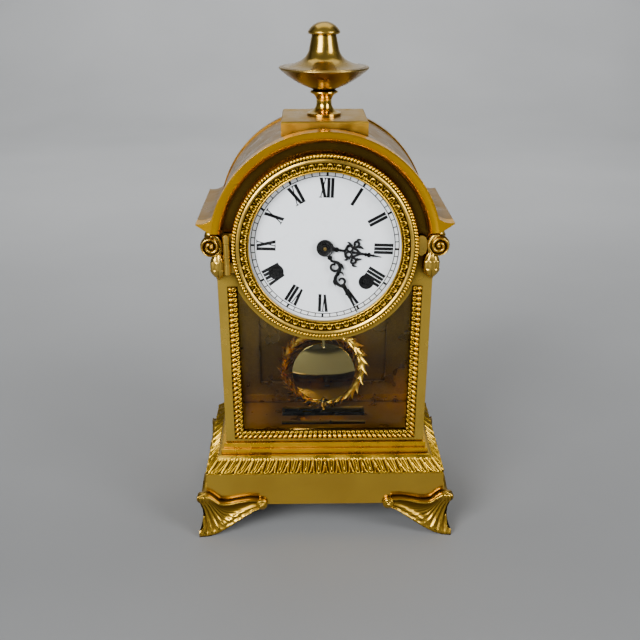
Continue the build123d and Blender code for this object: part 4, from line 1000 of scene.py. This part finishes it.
def make_wreath():
    """A ring of laurel leaves on a round core, with the two tails of its bow."""
    random.seed(7)
    build = Build()
    centre = Vector((0.0, WREATH_Y, WREATH_Z))

    def core(row, column):
        turn, side = row / 96, TURN * column / 12
        radius = WREATH_R + CORE_R * math.cos(side)
        x, z = around((0.0, WREATH_Z), radius, turn)
        return (x, WREATH_Y + CORE_R * math.sin(side), z)

    build.grid(96, 12, core, close_rows=True, close_columns=True)
    for station in range(STATIONS):
        for place in range(LEAVES_ROUND):
            turn = (station + 0.5 * (place % 2) + random.uniform(-0.12, 0.12)) / STATIONS
            angle = TURN * turn
            side = TURN * place / LEAVES_ROUND + random.uniform(-0.15, 0.15)
            radial = Vector((math.sin(angle), 0.0, math.cos(angle)))
            course = Vector((math.cos(angle), 0.0, -math.sin(angle)))
            outward = radial * math.cos(side) + Vector((0.0, -1.0, 0.0)) * math.sin(side)
            spot = centre + radial * WREATH_R + outward * (CORE_R + 0.9)
            swing = course + outward.cross(course) * random.uniform(-0.25, 0.25)
            laurel_leaf(build, spot, swing.normalized(), outward, 8.2, 4.4, 3.0)
    for sign in (-1, 1):
        corners = ((sign * 5.2, 54.7), (sign * 8.8, 54.7), (sign * 8.0, 64.0), (sign * 6.0, 64.0))
        build.plate(corners, WREATH_Y + 5.2, WREATH_Y + 3.4)
    piece = build.finish("laurel_wreath", LAUREL, "case")
    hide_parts("rear_wreath")


PANE_X, PANE_LOW, PANE_HIGH, PANE_ARC = 55.0, 64.9, 169.0, 53.0
PANE_BACK, PANE_FRONT, BEVEL = -31.1, -33.5, 6.0


def pane_outline(inset):
    """Outline of the front pane, drawn in from its edges all round."""
    half, low, arc = PANE_X - inset, PANE_LOW + inset, PANE_ARC + inset
    drop = math.sqrt(arc * arc - half * half) if arc > half else 0.0
    top = min(PANE_HIGH, DIAL_Z - drop) if drop else PANE_HIGH
    reach = math.sqrt(arc * arc - (DIAL_Z - top) ** 2)
    outline = [(-half, low), (half, low), (half, top)]
    sweep = math.asin(reach / arc)
    for step in range(41):
        angle = lerp(sweep, -sweep, step / 40)
        outline.append((arc * math.sin(angle), DIAL_Z - arc * math.cos(angle)))
    outline.append((-half, top))
    return outline


def make_front_pane():
    """The pane of the front window with its wide ground bevel."""
    build = Build()
    outer, inner = pane_outline(0.0), pane_outline(BEVEL)
    layers = ((outer, PANE_BACK), (outer, PANE_FRONT + 1.5), (inner, PANE_FRONT + 0.1))
    build.tube(len(layers), len(outer), lambda row, column: (
        layers[row][0][column][0], layers[row][1], layers[row][0][column][1]))
    piece = build.finish("window_pane_bevelled", GLASS, "case", smooth=False)
    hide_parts("front_glass")


# ---------------------------------------------------------------- CAD materials

FINISHES = (
    (GLASS, ("bezel_glass", "side_glasses")),
    (WHITE, ("dial",)),
    (STEEL, ("foot_screws", "anchor_and_crutch", "strike_hammer", "movement_pillars")),
    (SQUARE, ("going_winding_arbor", "strike_winding_arbor")),
    (BLACK, ("hand_nut",)),
    (BELL, ("strike_bell",)),
    (MOVEMENT, ("movement_drum", "movement_front_plate", "movement_back_plate", "going_barrel",
                "strike_barrel", "centre_arbor", "hour_wheel", "minute_wheel", "second_wheel",
                "third_wheel", "escape_wheel", "pendulum_cock", "bell_stand")),
    (FINIAL, ("finial_bowl", "finial_rod_and_nut")),
    (PLINTH, ("roof_plinth_block",)),
    (BEZEL, ("bezel_rim", "bezel_hinge_bracket")),
    (BOB, ("pendulum_bob", "pendulum_rod", "rating_nut")),
    (LID, ("finial_lid",)),
    (COVE, ("cornice_moulding",)),
    (WALL, ("front_wall",)),
    (SHEET, ("rear_wall", "rear_door", "side_wall_left", "side_wall_right")),
    (ROOF, ("roof_vault",)),
    (RAIL, ("base_rail",)),
    (FLOOR, ("case_floor_plate",)),
    (UNDER, ("base_bottom_plate",)),
)


def paint_cad():
    """Gives every CAD node its finish; polished brass where nothing else is named."""
    finish = {name: POLISHED for name in nodes}
    for material, names in FINISHES:
        finish.update({name: material for name in names})
    for name, node in nodes.items():
        if not node.material_slots:
            node.data.materials.append(finish[name])
        for place in node.material_slots:
            place.material = finish[name]


# ---------------------------------------------------------------- studio

def make_backdrop():
    """A seamless floor that curves up behind the clock."""
    reach, bend_at, bend, top, steps = 6000.0, 1400.0, 900.0, 5000.0, 12
    profile = [(-reach, 0.0), (bend_at, 0.0)]
    for step in range(1, steps + 1):
        angle = math.radians(90 * step / steps)
        profile.append((bend_at + bend * math.sin(angle), bend - bend * math.cos(angle)))
    profile.append((bend_at + bend, top))
    build = Build()
    build.grid(2, len(profile), lambda row, column: ((-reach, reach)[row], *profile[column]))
    shell = build.finish("backdrop", paper_floor(), "case")
    shell.parent = None
    del shell["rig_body"]


def softbox(name, location, target, size, power):
    """A large soft area light that faces a point."""
    data = bpy.data.lights.new(name, "AREA")
    data.shape = "RECTANGLE"
    data.size, data.size_y = size
    data.energy = power
    light = bpy.data.objects.new(name, data)
    light.location = location
    aim = Vector(target) - Vector(location)
    light.rotation_euler = aim.to_track_quat("-Z", "Y").to_euler()
    bpy.context.scene.collection.objects.link(light)


def make_world():
    """Even grey studio air, a little brighter overhead."""
    world = bpy.data.worlds.new("studio_air")
    world.use_nodes = True
    tree = world.node_tree
    place = tree.nodes.new("ShaderNodeTexCoord")
    parts = tree.nodes.new("ShaderNodeSeparateXYZ")
    ramp = tree.nodes.new("ShaderNodeMapRange")
    air = tree.nodes["Background"]
    tree.links.new(place.outputs["Generated"], parts.inputs["Vector"])
    tree.links.new(parts.outputs["Z"], ramp.inputs["Value"])
    ramp.inputs["From Min"].default_value = -0.2
    ramp.inputs["To Min"].default_value = 0.05
    ramp.inputs["To Max"].default_value = 0.26
    air.inputs["Color"].default_value = rgb(0.96, 0.98, 1.0)
    tree.links.new(ramp.outputs["Result"], air.inputs["Strength"])
    bpy.context.scene.world = world


def light_studio():
    """A key light from the left, a fill from the right, one overhead and one for the backdrop."""
    middle = (0.0, 0.0, 0.15)
    softbox("key_softbox", (-0.75, -1.15, 0.80), middle, (0.7, 0.8), 38.0)
    softbox("fill_softbox", (0.95, -0.75, 0.70), middle, (0.5, 0.9), 16.0)
    softbox("top_softbox", (0.0, 0.45, 1.35), middle, (1.2, 0.8), 5.0)
    softbox("backdrop_light", (0.0, 0.55, 1.6), (0.0, 2.3, 0.9), (1.6, 0.5), 118.0)


CAMERA_AT = (-0.0100, -0.5336, 0.3352)
CAMERA_YAW, CAMERA_PITCH, CAMERA_ROLL = 0.8, 27.7, -0.1       # degrees
LENS, SHIFT_UP = 49.53, 0.1606


def make_camera():
    """Eye a little to the left, looking down on the clock, with the lens shifted up."""
    yaw, pitch = math.radians(CAMERA_YAW), math.radians(CAMERA_PITCH)
    ahead = Vector((math.sin(yaw) * math.cos(pitch), math.cos(yaw) * math.cos(pitch),
                    -math.sin(pitch)))
    right = Vector((math.cos(yaw), -math.sin(yaw), 0.0))
    up = right.cross(ahead)
    turn = Matrix((right, up, -ahead)).transposed()
    turn = turn @ Matrix.Rotation(math.radians(CAMERA_ROLL), 3, "Z")
    data = bpy.data.cameras.new("camera")
    data.lens = LENS
    data.sensor_width = 36.0
    data.shift_y = SHIFT_UP
    data.clip_start = 0.01
    camera = bpy.data.objects.new("camera", data)
    camera.matrix_world = Matrix.Translation(CAMERA_AT) @ turn.to_4x4()
    bpy.context.scene.collection.objects.link(camera)
    bpy.context.scene.camera = camera


paint_cad()
make_dial_print()
make_winding_hole_shade()
make_hour_hand()
make_hand_hub()
make_minute_hand()
make_rope_ring()
make_egg_ring()
make_bead_border()
make_acanthus_moulding()
make_capitals()
make_feet()
make_wreath()
make_front_pane()
make_backdrop()
make_world()
light_studio()
make_camera()
